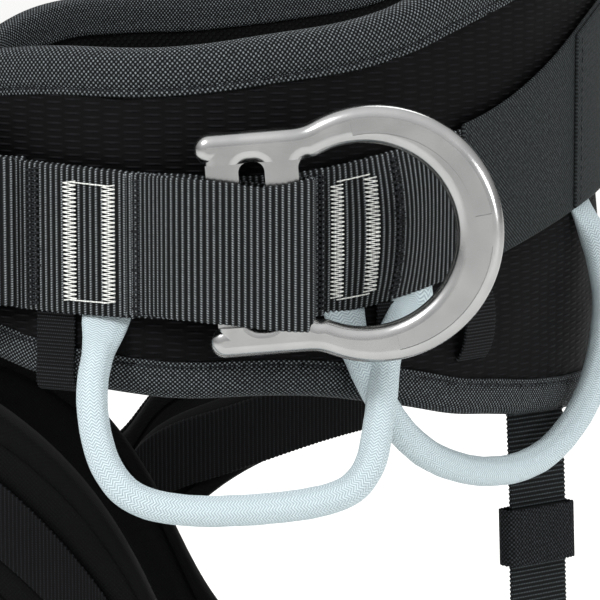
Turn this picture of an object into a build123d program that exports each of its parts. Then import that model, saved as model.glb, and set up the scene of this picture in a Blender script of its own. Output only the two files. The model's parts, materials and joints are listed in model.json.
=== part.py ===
"""Climbing harness: padded waist belt, side rings, gear loops, ventral ring and leg loops.

Frame: +Z is up, the wearer faces -Y and the wearer's left side is +X. The origin is on the
waist's vertical axis, at the height of the belt's lower edge at the side. Every belt layer
follows one oval seen from above, cut by an outline seen from the side.
"""
import os
from math import atan2, degrees, hypot, radians, sqrt, tan

from build123d import *

# ---- Waist oval, seen from above, at the outer face of the padding ----
BELT_HALF_X = 165.0
BELT_HALF_Y = 136.0
BELT_SIDE_R = 105.0

# ---- Belt padding: thicknesses are measured inward from the oval ----
PAD_THICK = 9.0
MESH_THICK = 1.6
FABRIC_THICK = 1.2
BINDING_PROUD = 0.6
TOP_BINDING = 15.0
LOWER_BINDING = 12.0
TOP_EDGE = [
    (-100, 86), (-86, 101), (-63, 108), (-20, 109), (32, 114.5),
    (60, 120), (86, 131), (115, 142), (150, 150),
]
LOWER_EDGE = [
    (-100, 28), (-86, 16), (-64, 7.6), (-40, 2.2), (-14, -0.8),
    (32, -0.9), (77, -10.4), (105, -17), (150, -24),
]

# ---- Webbing: layer faces are measured outward from the oval ----
WEB_THICK = 2.0
WEB_LAYER_1 = 0.3
WEB_LAYER_2 = 2.6
BAND_THICK = 1.5
TAPE_THICK = 1.2
TAPE_OFFSET = 1.1
FRONT_LAYER = (-60.0, -20.0)
WEB_START_Y = -56.0
WEB_TOP = [(-70, 74), (-31, 71.5), (-5, 69.7), (35, 71), (63, 76.6), (85, 82), (112, 92), (150, 97)]
WEB_LOW = [(-70, 27), (-31, 25.6), (-5, 24.8), (35, 25), (63, 29.5), (85, 36), (112, 46), (150, 52)]
BAND_TOP = [(80, 82.5), (97, 90.5), (113, 103), (129, 118), (150, 126)]
BAND_LOW = [(80, 34.5), (97, 41), (113, 47), (129, 53), (150, 58)]
STRAP_Z = (29.0, 73.0)
STRAP_START_Y = -94.0
CLEAR = 0.3

# ---- Side ring: a forged D standing in a plane that faces sideways ----
RING_X = 174.8
RING_Y = 53.6
RING_Z = 52.7
RING_TILT = 4.6
RING_R = 40.0
RING_EYE_R = 28.6
RING_EYE_SHIFT = -3.4
RING_BASE_U = -53.5
RING_BAR = 9.6
RING_HALF_V = 34.9
RING_THICK = 9.0
RING_EDGE_R = 3.8
RING_NOTCH = 2.8
POST_WIDTH = 10.8
POST_GAP = 7.7
POST_RECESS = 2.6
GROOVE_DEPTH = 0.8
GROOVE_R = (31.5, 36.5)
TAB_Z = (26.2, 70.2)
TAB_SEAM_Y = -17.0
TAB_FOLD_Y = 30.4

# ---- Gear loops ----
CORD_R = 4.8
FRONT_LOOP = [(0, 0), (-4, 22), (8, 46), (32, 56), (66, 57), (86, 38), (94, 12), (98, 0)]
REAR_LOOP = [(0, 0), (2, 18), (16, 46), (44, 64), (78, 71), (108, 60), (126, 34), (127, 8), (118.5, 0)]

# ---- Waist buckle ----
BUCKLE_Y = -75.0
BUCKLE_MID_Z = 52.0
BUCKLE_LENGTH = 36.0
BUCKLE_HEIGHT = 62.0
BUCKLE_THICK = 4.0
BUCKLE_OFFSET = 8.0
BUCKLE_RAIL = 7.0
BUCKLE_BAR = 5.0
SLIDE_BAR = 6.0
SLIDE_THICK = 3.0
SLIDE_AHEAD = 3.0
BUCKLE_EDGE_R = 1.4
# the front strap's tail, seen from above the left buckle: back along the belt, then inward
TAIL_ROUTE = [(-17, -2.4), (5, -3.0), (5, -15.4), (-14, -15.4), (-46, -0.6), (-76, 9.6)]
KEEPER_Y = -118.0
KEEPER_HALF = 6.0
KEEPER_THICK = 1.0

# ---- Ventral attachment, seen from the side ----
VENTRAL_Y = -144.3
VENTRAL_HALF = 22.0
EYE_HALF = 18.0
RING_SECTION = 10.0
VENTRAL_RING_Z = 18.0
RING_LOOP_R = 6.0
BRIDGE_R = 5.0
BRIDGE_Y = -138.0
BRIDGE_Z = -48.0
BRIDGE_HALF = 44.0

# ---- Leg loops ----
LEG_PAD_THICK = 8.5
LEG_LINING = 1.4
LEFT_LEG_TOP = [
    (-135, -16), (-112, -2), (-90, 1), (-65, -9), (-41, -29),
    (-20, -60), (0, -98), (30, -125), (110, -130),
]
LEFT_LEG_LOW = [
    (-135, -56), (-112, -58), (-90, -62), (-65, -78), (-41, -104),
    (-20, -135), (5, -165), (35, -185), (110, -190),
]
RIGHT_LEG_TOP = [
    (-130, -48), (-105, -56), (-75, -78), (-57, -76), (-40, -66),
    (-28, -50), (0, -36), (45, -26), (75, -24),
]
RIGHT_LEG_LOW = [
    (-130, -90), (-105, -102), (-75, -113), (-45, -103), (-25, -89),
    (-8, -75), (6, -65), (45, -52), (75, -50),
]
LEG_WEB = 25.0

# ---- Risers ----
RISER_WIDTH = 25.0
RISER_THICK = 1.8
RISER_Y = 114.0
RISER_TWIST = -22.0
KEEPER_LENGTH = 19.0


class Oval:
    """A four-arc oval seen from above; every offset of it keeps the same four centres."""

    def __init__(self, half_x, half_y, side_r, centre_x=0.0, centre_y=0.0):
        self.cx = centre_x
        self.cy = centre_y
        self.side_r = side_r
        self.side_c = half_x - side_r
        self.end_r = (self.side_c**2 + half_y**2 - side_r**2) / (2 * (half_y - side_r))
        self.end_c = half_y - self.end_r

    def join(self, off):
        """First-quadrant point, from the oval's centre, where a side arc meets an end arc."""
        scale = (self.side_r + off) / hypot(self.side_c, self.end_c)
        return self.side_c + abs(self.side_c) * scale, abs(self.end_c) * scale

    def x_at(self, y, off=0.0):
        """Distance from the oval's long axis to the offset oval at height y in plan."""
        y = abs(y - self.cy)
        if y <= self.join(off)[1]:
            return self.side_c + sqrt((self.side_r + off) ** 2 - y**2)
        return sqrt((self.end_r + off) ** 2 - (y - self.end_c) ** 2)

    def turn_at(self, y, off=0.0):
        """Direction of the outward normal at y, in degrees from +X."""
        x = self.x_at(y, off)
        local = y - self.cy
        if abs(local) <= self.join(off)[1]:
            return degrees(atan2(local, x - self.side_c))
        end = self.end_c if local > 0 else -self.end_c
        return degrees(atan2(local - end, x))

    def face(self, off):
        """The offset oval as a filled sketch at z = 0, for use inside a sketch block."""
        x, y = self.join(off)
        cx, cy = self.cx, self.cy
        side = self.side_c + self.side_r + off
        end = self.end_c + self.end_r + off
        with BuildLine() as edge:
            ThreePointArc((cx + x, cy - y), (cx + side, cy), (cx + x, cy + y))
            ThreePointArc((cx + x, cy + y), (cx, cy + end), (cx - x, cy + y))
            ThreePointArc((cx - x, cy + y), (cx - side, cy), (cx - x, cy - y))
            ThreePointArc((cx - x, cy - y), (cx, cy - end), (cx + x, cy - y))
        return edge.line


WAIST = Oval(BELT_HALF_X, BELT_HALF_Y, BELT_SIDE_R)
LEFT_LEG = Oval(72.0, 117.0, 160.0, 83.0, -13.0)
RIGHT_LEG = Oval(60.0, 95.0, 130.0, -90.0, -30.0)


def layer(oval, inner, outer, upper, lower):
    """A curved band: the ring between two offsets of an oval, cut by two side-view curves."""
    base = min(point[1] for point in lower) - 5
    tall = max(point[1] for point in upper) + 5 - base
    with BuildPart() as band:
        with BuildSketch(Plane.XY.offset(base)):
            make_face(oval.face(outer))
            make_face(oval.face(inner), mode=Mode.SUBTRACT)
        extrude(amount=tall)
        with BuildSketch(Plane.YZ):
            with BuildLine():
                Spline(*upper)
                Line(upper[-1], lower[-1])
                Spline(*lower)
                Line(lower[0], upper[0])
            make_face()
        extrude(amount=2 * BELT_HALF_X, both=True, mode=Mode.INTERSECT)
    return band.part


def shifted(curve, rise):
    """The same side-view curve moved up by rise."""
    return [(y, z + rise) for y, z in curve]


def between(curve, start, end):
    """The stretch of a side-view curve from y = start to y = end, with its ends interpolated."""
    def height(y):
        """Height of the curve's straight runs at y."""
        for (y0, z0), (y1, z1) in zip(curve, curve[1:]):
            if y0 <= y <= y1:
                return z0 + (z1 - z0) * (y - y0) / (y1 - y0)
    inside = [point for point in curve if start + 4 < point[0] < end - 4]
    return [(start, height(start))] + inside + [(end, height(end))]


def level(start, end, height):
    """A level side-view curve from y = start to y = end."""
    return [(start, height), ((start + end) / 2, height), (end, height)]


def save(part, name):
    """Write one finished piece as a STEP file of the same name."""
    part.label = name
    export_step(part, f"parts/{name}.step")


def save_pair(part, name):
    """Write a left piece and its mirror image on the right."""
    save(part, f"{name}_left")
    with BuildPart() as other:
        mirror(part, about=Plane.YZ)
    save(other.part, f"{name}_right")


os.makedirs("parts", exist_ok=True)

# ======================================================== padded belt
top_line = shifted(TOP_EDGE, -TOP_BINDING)
low_line = shifted(LOWER_EDGE, LOWER_BINDING)
save(layer(WAIST, -PAD_THICK, -PAD_THICK + MESH_THICK, top_line, low_line), "belt_inner_mesh")
save(layer(WAIST, -PAD_THICK + MESH_THICK, -FABRIC_THICK, top_line, low_line), "belt_pad_core")
save(layer(WAIST, -FABRIC_THICK, 0, top_line, low_line), "belt_outer_fabric")
rim_in = -PAD_THICK - BINDING_PROUD
save(layer(WAIST, rim_in, BINDING_PROUD, TOP_EDGE, top_line), "belt_top_binding")
save(layer(WAIST, rim_in, BINDING_PROUD, low_line, LOWER_EDGE), "belt_lower_binding")

# ======================================================== waist webbing
back_y = TOP_EDGE[-1][0]
web_top = between(WEB_TOP, WEB_START_Y, back_y)
web_low = between(WEB_LOW, WEB_START_Y, back_y)
save(layer(WAIST, WEB_LAYER_1, WEB_LAYER_1 + WEB_THICK, web_top, web_low), "waist_webbing")
save(layer(WAIST, WEB_LAYER_2, WEB_LAYER_2 + BAND_THICK, BAND_TOP, BAND_LOW), "back_band")

# ======================================================== waist buckles
buckle_turn = WAIST.turn_at(BUCKLE_Y)
buckle_x = WAIST.x_at(BUCKLE_Y)
# local x runs back along the belt, local y runs inward and local z runs up
buckle_plan = Plane(
    origin=(buckle_x, BUCKLE_Y, STRAP_Z[0]),
    x_dir=Vector(1, 0, 0).rotate(Axis.Z, buckle_turn + 90),
    z_dir=(0, 0, 1),
)
# local x runs back along the belt, local y runs up and local z runs outward
buckle_face = Plane(
    origin=(buckle_x, BUCKLE_Y, BUCKLE_MID_Z),
    x_dir=Vector(1, 0, 0).rotate(Axis.Z, buckle_turn + 90),
    z_dir=Vector(1, 0, 0).rotate(Axis.Z, buckle_turn),
)
with BuildPart() as buckle_frame:
    with BuildSketch(buckle_face.offset(BUCKLE_OFFSET - BUCKLE_THICK / 2)):
        RectangleRounded(BUCKLE_LENGTH, BUCKLE_HEIGHT, 5)
        slot_length = BUCKLE_LENGTH - 2 * BUCKLE_BAR
        slot_height = BUCKLE_HEIGHT - 2 * BUCKLE_RAIL
        RectangleRounded(slot_length, slot_height, 1.5, mode=Mode.SUBTRACT)
    extrude(amount=BUCKLE_THICK)
    fillet(buckle_frame.edges().filter_by(Axis.Z), radius=BUCKLE_EDGE_R)
save_pair(buckle_frame.part, "buckle_frame")

with BuildPart() as slide_bar:
    with BuildSketch(buckle_face.offset(BUCKLE_OFFSET + BUCKLE_THICK / 2 + 0.2)):
        with Locations((-SLIDE_AHEAD, 0)):
            RectangleRounded(SLIDE_BAR, BUCKLE_HEIGHT - BUCKLE_RAIL, 1.5)
    extrude(amount=SLIDE_THICK)
    fillet(slide_bar.edges().filter_by(Axis.Z), radius=1.2)
save_pair(slide_bar.part, "buckle_bar")

# webbing folded round the buckle's rear bar and laid back over the waist webbing
rear_bar = ((BUCKLE_LENGTH - BUCKLE_BAR) / 2, -BUCKLE_OFFSET)
laid_top = between(WEB_TOP, *FRONT_LAYER)
laid_low = between(WEB_LOW, *FRONT_LAYER)
laid_back = layer(WAIST, WEB_LAYER_2, WEB_LAYER_2 + WEB_THICK, laid_top, laid_low)
with BuildPart() as buckle_webbing:
    add(laid_back.solids().sort_by(Axis.X)[-1])
    with BuildSketch(buckle_plan):
        with Locations(rear_bar):
            SlotOverall(BUCKLE_BAR + 8.4, BUCKLE_THICK + 5.2)
        with BuildLine():
            Polyline((10, -6.2), (10, -3.2), (26, -1.4), (26, -3.4), (22, -7), (10, -6.2))
        make_face()
        with Locations(rear_bar):
            SlotOverall(BUCKLE_BAR + 4.2, BUCKLE_THICK + 0.8, mode=Mode.SUBTRACT)
    extrude(amount=STRAP_Z[1] - STRAP_Z[0])
save_pair(buckle_webbing.part, "buckle_webbing")

# ======================================================== front strap
strap_in = WEB_LAYER_2
strap_out = WEB_LAYER_2 + WEB_THICK
front_y = -BELT_HALF_Y - 20
front_low, front_top = (level(front_y, STRAP_START_Y, z) for z in STRAP_Z)
save(layer(WAIST, strap_in, strap_out, front_top, front_low), "front_strap")

with BuildPart() as strap_tail:
    with BuildSketch(buckle_plan):
        with BuildLine():
            FilletPolyline(*TAIL_ROUTE, radius=4.5)
        trace(line_width=WEB_THICK - 0.2)
    extrude(amount=STRAP_Z[1] - STRAP_Z[0])
save_pair(strap_tail.part, "strap_tail")

# the keeper is a hollow band round the strap and its tail
keeper_shells = []
for grow, reach in ((2 * KEEPER_THICK, 0), (KEEPER_THICK, 6)):
    start = KEEPER_Y - KEEPER_HALF - reach
    end = KEEPER_Y + KEEPER_HALF + reach
    keeper_top = level(start, end, STRAP_Z[1] + grow)
    keeper_low = level(start, end, STRAP_Z[0] - grow)
    keeper_shells.append(layer(WAIST, strap_in - grow + 0.6, strap_out + grow + 3.4, keeper_top, keeper_low))
with BuildPart() as tail_keeper:
    add(keeper_shells[0].solids().sort_by(Axis.X)[-1])
    add(keeper_shells[1].solids().sort_by(Axis.X)[-1], mode=Mode.SUBTRACT)
save_pair(tail_keeper.part, "tail_keeper")

# ======================================================== side rings
# local x runs back along the ring, local y runs up and local z runs outward
ring_run = Vector(0, 1, 0).rotate(Axis.X, RING_TILT)
ring_face = Plane(origin=(RING_X, RING_Y, RING_Z), x_dir=ring_run, z_dir=(1, 0, 0))
bar_low_v = RING_HALF_V - RING_BAR
end_post_u = RING_BASE_U + 2.5 + POST_WIDTH / 2
mid_post_u = end_post_u + POST_WIDTH + POST_GAP
eye_u = mid_post_u + POST_WIDTH / 2


def bow_outline(centre_u, radius, level, base_u, neck_r, corner_r):
    """A D seen from its face: a square base whose level sides neck smoothly into a round bow."""
    reach = radius + neck_r
    neck_u = centre_u - sqrt(reach**2 - (level + neck_r) ** 2)
    touch_u = centre_u + (neck_u - centre_u) * radius / reach
    touch_v = (level + neck_r) * radius / reach
    with BuildLine(mode=Mode.PRIVATE) as edge:
        FilletPolyline((neck_u, -level), (base_u, -level), (base_u, level), (neck_u, level), radius=corner_r)
        for sign in (1, -1):
            TangentArc((neck_u, sign * level), (touch_u, sign * touch_v), tangent=(1, 0))
        ThreePointArc((touch_u, touch_v), (centre_u + radius, 0), (touch_u, -touch_v))
    return edge.line


# both ends of the base are short round-ended bars that stand a little past the end post
with BuildPart() as bar_ends:
    with BuildSketch(ring_face.offset(-RING_THICK / 2)):
        with Locations((RING_BASE_U + RING_BAR, RING_HALF_V - RING_BAR / 2)):
            SlotOverall(2 * RING_BAR, RING_BAR)
        with Locations((RING_BASE_U + RING_BAR, RING_BAR / 2 - RING_HALF_V)):
            SlotOverall(2 * RING_BAR, RING_BAR)
    extrude(amount=RING_THICK)
    faces = bar_ends.faces().sort_by(Axis.X)
    fillet(faces[0:2].edges() + faces[-2:].edges(), radius=RING_EDGE_R)

with BuildPart() as side_ring:
    with BuildSketch(ring_face.offset(-RING_THICK / 2)):
        make_face(bow_outline(0, RING_R, RING_HALF_V, RING_BASE_U + RING_NOTCH, 16, 3.4))
        eye = bow_outline(RING_EYE_SHIFT, RING_EYE_R, bar_low_v, eye_u, 5, 2.8)
        make_face(eye, mode=Mode.SUBTRACT)
        with Locations(((end_post_u + mid_post_u) / 2, 0)):
            RectangleRounded(POST_GAP, 2 * bar_low_v, 3, mode=Mode.SUBTRACT)
    extrude(amount=RING_THICK)
    faces = side_ring.faces().sort_by(Axis.X)
    fillet(faces[0].edges() + faces[-1].edges(), radius=RING_EDGE_R)
    # the posts are thinner than the bars
    post_length = eye_u - RING_BASE_U
    for side in (RING_THICK / 2, -RING_THICK / 2):
        with BuildSketch(ring_face.offset(side)):
            with Locations(((RING_BASE_U + eye_u) / 2, 0)):
                Rectangle(post_length + 1, 2 * bar_low_v)
        extrude(amount=-POST_RECESS if side > 0 else POST_RECESS, mode=Mode.SUBTRACT)
    add(bar_ends.part)
    with BuildSketch(ring_face.offset(RING_THICK / 2)):
        for first, span in ((6, 92), (-10, -72)):
            with BuildLine():
                CenterArc((0, 0), GROOVE_R[0], first, span)
                CenterArc((0, 0), GROOVE_R[1], first, span)
                for edge_angle in (first, first + span):
                    Line(
                        PolarLine((0, 0), GROOVE_R[0], edge_angle, mode=Mode.PRIVATE) @ 1,
                        PolarLine((0, 0), GROOVE_R[1], edge_angle, mode=Mode.PRIVATE) @ 1,
                    )
            make_face()
    extrude(amount=-GROOVE_DEPTH, mode=Mode.SUBTRACT)
save_pair(side_ring.part, "side_ring")

# webbing tab folded round both posts of the ring, seen from above
tab_half = RING_THICK / 2 + CLEAR
tab_out = tab_half + WEB_THICK
with BuildPart() as ring_tab:
    with BuildSketch(Plane.XY.offset(TAB_Z[0])):
        with BuildLine():
            Polyline(
                (RING_X - tab_out, TAB_FOLD_Y),
                (RING_X - tab_out, -6),
                (168.4, TAB_SEAM_Y + 1),
                (171.8, TAB_SEAM_Y + 1),
                (RING_X + tab_out, -5),
                (RING_X + tab_out, TAB_FOLD_Y),
            )
            ThreePointArc(
                (RING_X + tab_out, TAB_FOLD_Y),
                (RING_X, TAB_FOLD_Y + tab_out),
                (RING_X - tab_out, TAB_FOLD_Y),
            )
        make_face()
        with BuildLine():
            Polyline(
                (RING_X - tab_half, TAB_FOLD_Y),
                (RING_X - tab_half, -2.8),
                (RING_X + tab_half, -2.8),
                (RING_X + tab_half, TAB_FOLD_Y),
            )
            ThreePointArc(
                (RING_X + tab_half, TAB_FOLD_Y),
                (RING_X, TAB_FOLD_Y + tab_half),
                (RING_X - tab_half, TAB_FOLD_Y),
            )
        make_face(mode=Mode.SUBTRACT)
    extrude(amount=TAB_Z[1] - TAB_Z[0])
save_pair(ring_tab.part, "ring_tab")

# ======================================================== gear loops


def loop_plane(start, end, tilt):
    """Plane through both sewn ends: local x along the chord, local y down and outward."""
    first = Vector(WAIST.x_at(start[0], start[2]), start[0], start[1])
    last = Vector(WAIST.x_at(end[0], end[2]), end[0], end[1])
    chord = (last - first).normalized()
    outward = Vector(chord.Y, -chord.X, 0).normalized()
    fall = Vector(0, 0, -1) + outward * tilt
    return Plane(origin=first, x_dir=chord, z_dir=chord.cross(fall))


def cord(plane, points):
    """A round cord along straight runs joined by arcs as large as the runs allow."""
    runs = [hypot(b[0] - a[0], b[1] - a[1]) for a, b in zip(points, points[1:])]
    headings = [degrees(atan2(b[1] - a[1], b[0] - a[0])) for a, b in zip(points, points[1:])]
    radii = []
    for i in range(len(runs) - 1):
        turn = abs((headings[i + 1] - headings[i] + 180) % 360 - 180)
        radii.append(0.45 * min(runs[i], runs[i + 1]) / tan(radians(turn / 2)))
    print("cord bend radii (mm):", [round(radius, 1) for radius in radii])
    with BuildPart() as rope:
        with BuildLine(plane) as route:
            FilletPolyline(*points, radius=radii)
        with BuildSketch(Plane(origin=route.line @ 0, z_dir=route.line % 0)):
            Circle(CORD_R)
        sweep()
    return rope.part


front_plane = loop_plane((-30, 20.5, 12), (66.5, 23.5, 12), 0.35)
rear_plane = loop_plane((44, 22, 7), (124.5, 47, 7), 0.10)
save_pair(cord(front_plane, FRONT_LOOP), "gear_loop_front")
save_pair(cord(rear_plane, REAR_LOOP), "gear_loop_rear")


def save_tapes(name, start, end, low, high):
    """A short upright tape on each face of the belt."""
    outer = TAPE_OFFSET + TAPE_THICK
    both = layer(WAIST, TAPE_OFFSET, outer, level(start, end, high), level(start, end, low))
    with BuildPart() as left_tape:
        add(both.solids().sort_by(Axis.X)[-1])
    save_pair(left_tape.part, name)


save_tapes("front_tape", -52.5, -39, 3, 24.8)
save_tapes("middle_tape", 53.5, 60.5, 15, 25)
save_tapes("rear_tape", 78, 92, 7, 32)

# ======================================================== ventral attachment
# the side view: local x is +Y and local y is +Z, extruded both ways along X
loop_y = VENTRAL_Y + 1 - RING_LOOP_R - WEB_THICK
strap_top = STRAP_Z[1] + 4
with BuildPart() as ventral_webbing:
    with BuildSketch(Plane.YZ):
        with Locations((VENTRAL_Y, (BRIDGE_Z + strap_top) / 2)):
            Rectangle(WEB_THICK, strap_top - BRIDGE_Z)
        with Locations((VENTRAL_Y + 5.5, strap_top)):
            Rectangle(11 + WEB_THICK, WEB_THICK)
        with Locations((VENTRAL_Y + 11, (20 + strap_top) / 2)):
            Rectangle(WEB_THICK, strap_top - 20)
        with BuildLine():
            Polyline(
                (VENTRAL_Y + 12, 20),
                (VENTRAL_Y + 1, 9),
                (VENTRAL_Y + 1, 12),
                (VENTRAL_Y + 10, 21),
                (VENTRAL_Y + 12, 20),
            )
        make_face()
        with Locations((BRIDGE_Y, BRIDGE_Z)):
            Circle(BRIDGE_R + CLEAR + WEB_THICK)
            Circle(BRIDGE_R + CLEAR, mode=Mode.SUBTRACT)
    extrude(amount=VENTRAL_HALF, both=True)
    with BuildSketch(Plane.YZ):
        with Locations((loop_y, VENTRAL_RING_Z)):
            Circle(RING_LOOP_R + WEB_THICK)
            Circle(RING_LOOP_R, mode=Mode.SUBTRACT)
    extrude(amount=EYE_HALF - 1, both=True)
save(ventral_webbing.part, "ventral_webbing")

with BuildPart() as ventral_ring:
    with BuildSketch(Plane.XZ.offset(-loop_y - RING_SECTION / 2)) as bow:
        for half, sign in ((EYE_HALF + RING_SECTION, Mode.ADD), (EYE_HALF, Mode.SUBTRACT)):
            top = VENTRAL_RING_Z + (RING_SECTION / 2 if sign == Mode.ADD else -RING_SECTION / 2)
            with BuildLine():
                Polyline((-half, -5), (-half, top), (half, top), (half, -5))
                ThreePointArc((half, -5), (0, -5 - half), (-half, -5))
            make_face(mode=sign)
    extrude(amount=RING_SECTION)
    faces = ventral_ring.faces().sort_by(Axis.Y)
    fillet(faces[0].edges() + faces[-1].edges(), radius=4)
save(ventral_ring.part, "ventral_ring")

with BuildPart() as leg_bridge:
    with BuildSketch(Plane.YZ):
        with Locations((BRIDGE_Y, BRIDGE_Z)):
            Circle(BRIDGE_R)
    extrude(amount=BRIDGE_HALF, both=True)
save(leg_bridge.part, "leg_bridge")

# ======================================================== leg loops


def leg_loop(oval, upper, lower, side, name):
    """Pad, lining, encircling webbing, front strap and buckle of one leg loop."""
    save(layer(oval, -LEG_PAD_THICK, 0, upper, lower), f"leg_pad_{name}")
    save(layer(oval, -LEG_PAD_THICK - LEG_LINING, -LEG_PAD_THICK, upper, lower), f"leg_lining_{name}")
    middle = [(top[0], (top[1] + low[1]) / 2) for top, low in zip(upper, lower)]
    web_top = shifted(middle, LEG_WEB / 2)
    web_low = shifted(middle, -LEG_WEB / 2)
    save(layer(oval, 0, WEB_THICK, web_top, web_low), f"leg_webbing_{name}")
    join_z = BRIDGE_Z + (BRIDGE_R + CLEAR + WEB_THICK / 2) * (1 if side > 0 else -1)
    end_z = BRIDGE_Z + (6 if side > 0 else -30)
    with BuildPart() as strap:
        with BuildSketch(Plane.YZ.offset(side * (BRIDGE_HALF - 10))):
            with Locations((BRIDGE_Y, BRIDGE_Z)):
                Circle(BRIDGE_R + CLEAR + WEB_THICK)
                Circle(BRIDGE_R + CLEAR, mode=Mode.SUBTRACT)
            with BuildLine():
                Line((BRIDGE_Y, join_z), (oval.cy - 20, end_z))
            trace(line_width=WEB_THICK)
            with Locations((BRIDGE_Y, BRIDGE_Z)):
                Circle(BRIDGE_R + CLEAR, mode=Mode.SUBTRACT)
        extrude(amount=9.5, both=True)
        with BuildSketch(Plane.XY.offset(-200)):
            make_face(oval.face(WEB_THICK))
        extrude(amount=300, mode=Mode.SUBTRACT)
    with BuildPart() as front_strap_piece:
        add(strap.solids().sort_by(Axis.Y)[0])
    save(front_strap_piece.part, f"leg_strap_{name}")


leg_loop(LEFT_LEG, LEFT_LEG_TOP, LEFT_LEG_LOW, 1, "left")
leg_loop(RIGHT_LEG, RIGHT_LEG_TOP, RIGHT_LEG_LOW, -1, "right")

# ======================================================== risers
riser_x = WAIST.x_at(RISER_Y, -5)


def strap_run(start, end, width, thick, across):
    """A straight flat strap from start to end, its width lying along the given direction."""
    path = Vector(*end) - Vector(*start)
    with BuildPart() as run:
        with BuildSketch(Plane(origin=start, x_dir=across, z_dir=path)):
            Rectangle(width, thick)
        extrude(amount=path.length)
    return run.part


def sleeve(centre, path, across, length):
    """An elastic keeper: a short flat tube round a strap."""
    with BuildPart() as tube:
        with BuildSketch(Plane(origin=centre, x_dir=across, z_dir=path)):
            RectangleRounded(RISER_WIDTH + 3.4, RISER_THICK + 3.4, 1.2)
            RectangleRounded(RISER_WIDTH + 0.8, RISER_THICK + 0.8, 0.5, mode=Mode.SUBTRACT)
        extrude(amount=length / 2, both=True)
    return tube.part


riser_turn = WAIST.turn_at(RISER_Y)
across = Vector(1, 0, 0).rotate(Axis.Z, riser_turn + 90 + RISER_TWIST)
riser_head = (riser_x, RISER_Y, -20.5)
riser_foot = (82.0, 113.0, -126.0)
save(strap_run(riser_head, riser_foot, RISER_WIDTH, RISER_THICK, across), "riser_left")
riser_path = Vector(*riser_foot) - Vector(*riser_head)
riser_middle = Vector(*riser_head) + riser_path * 0.38
save(sleeve(riser_middle, riser_path, across, KEEPER_LENGTH), "riser_keeper_left")
right_foot = (-86.0, 69.0, -36.0)
right_head = (-riser_x, RISER_Y, -22.0)
save(strap_run(right_head, right_foot, RISER_WIDTH, RISER_THICK, Vector(1, 0, 0)), "riser_right")
right_path = Vector(*right_foot) - Vector(*right_head)
right_middle = Vector(*right_head) + right_path * 0.6
save(sleeve(right_middle, right_path, Vector(1, 0, 0), KEEPER_LENGTH), "riser_keeper_right")
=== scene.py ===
# %% [markdown]
# # A climbing harness
# A climbing harness is mostly sewn work: foam padding in a fabric cover, a taped edge, straps
# with woven ribs, cords in a braided sleeve, and a few forged or pressed metal parts. The CAD
# model gives every piece its place and size. This script gives them the look of the real
# thing, and works in metres in the same frame: +Z is up, the wearer faces -Y, and the
# wearer's left side is +X.

# %% Load the frame
import json
from math import acos, atan2, cos, pi, radians, sin

import bmesh
import bpy
import numpy as np
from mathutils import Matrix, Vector, noise


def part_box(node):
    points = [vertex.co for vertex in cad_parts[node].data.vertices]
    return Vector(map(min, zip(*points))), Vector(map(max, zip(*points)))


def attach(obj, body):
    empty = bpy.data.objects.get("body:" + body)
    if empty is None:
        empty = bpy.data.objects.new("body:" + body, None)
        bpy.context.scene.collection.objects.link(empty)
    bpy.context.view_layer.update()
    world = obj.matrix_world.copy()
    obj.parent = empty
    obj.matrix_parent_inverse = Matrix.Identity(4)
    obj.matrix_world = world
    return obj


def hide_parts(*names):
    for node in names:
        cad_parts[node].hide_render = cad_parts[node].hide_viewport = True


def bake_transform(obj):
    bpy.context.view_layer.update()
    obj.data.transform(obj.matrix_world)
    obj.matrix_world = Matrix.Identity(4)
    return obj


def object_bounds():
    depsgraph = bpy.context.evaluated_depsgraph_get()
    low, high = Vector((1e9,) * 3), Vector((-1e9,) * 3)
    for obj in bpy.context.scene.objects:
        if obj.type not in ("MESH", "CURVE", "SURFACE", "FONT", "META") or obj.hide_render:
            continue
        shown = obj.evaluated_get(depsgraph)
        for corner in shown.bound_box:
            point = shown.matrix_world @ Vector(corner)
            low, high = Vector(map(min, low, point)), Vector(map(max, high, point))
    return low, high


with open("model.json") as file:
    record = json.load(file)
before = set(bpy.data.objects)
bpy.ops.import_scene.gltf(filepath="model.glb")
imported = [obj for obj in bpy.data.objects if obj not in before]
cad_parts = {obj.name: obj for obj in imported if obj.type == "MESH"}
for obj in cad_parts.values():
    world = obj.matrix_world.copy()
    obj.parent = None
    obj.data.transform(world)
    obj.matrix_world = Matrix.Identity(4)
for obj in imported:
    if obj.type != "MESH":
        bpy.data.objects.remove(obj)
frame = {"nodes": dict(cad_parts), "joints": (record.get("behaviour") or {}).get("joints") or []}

CAD_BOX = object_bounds()
MM = 0.001
SIDES = (("left", 1), ("right", -1))
UP = np.array((0.0, 0.0, 1.0))
print("CAD box:", [[round(value, 3) for value in corner] for corner in CAD_BOX])

# %% [markdown]
# ## The camera
# A harness is pictured side on, from a little above the belt, and from over a metre away with
# a long lens, so that lines which are parallel on the belt stay parallel in the picture.

# %% Camera
ring_low, ring_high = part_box("side_ring_left")
ring_middle = (ring_low + ring_high) / 2
belt_low, belt_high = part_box("belt_outer_fabric")
aim = Vector((belt_high.x, ring_middle.y - 15.2 * MM, ring_middle.z - 22.0 * MM))
CAMERA_AWAY = 1.1
CAMERA_RISE = radians(8)
camera_data = bpy.data.cameras.new("camera")
camera_data.lens = 211.2
camera_data.sensor_width = 36
camera = bpy.data.objects.new("camera", camera_data)
bpy.context.scene.collection.objects.link(camera)
camera.location = aim + CAMERA_AWAY * Vector((cos(CAMERA_RISE), 0, sin(CAMERA_RISE)))
camera.rotation_euler = (aim - camera.location).to_track_quat("-Z", "Y").to_euler()
bpy.context.scene.camera = camera
print("camera aims at", [round(value, 4) for value in aim])

# %% [markdown]
# ## Studio
# A pale floor and a bright surround give soft shadows. The surround is brightest in front and
# above and falls off behind and to the sides, like a room with one big window: smooth metal
# needs something dark to reflect as well, or it looks like grey plastic. Three large lamps
# add the shape of the folds. The view is set to Standard so that black cloth stays black.

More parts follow.
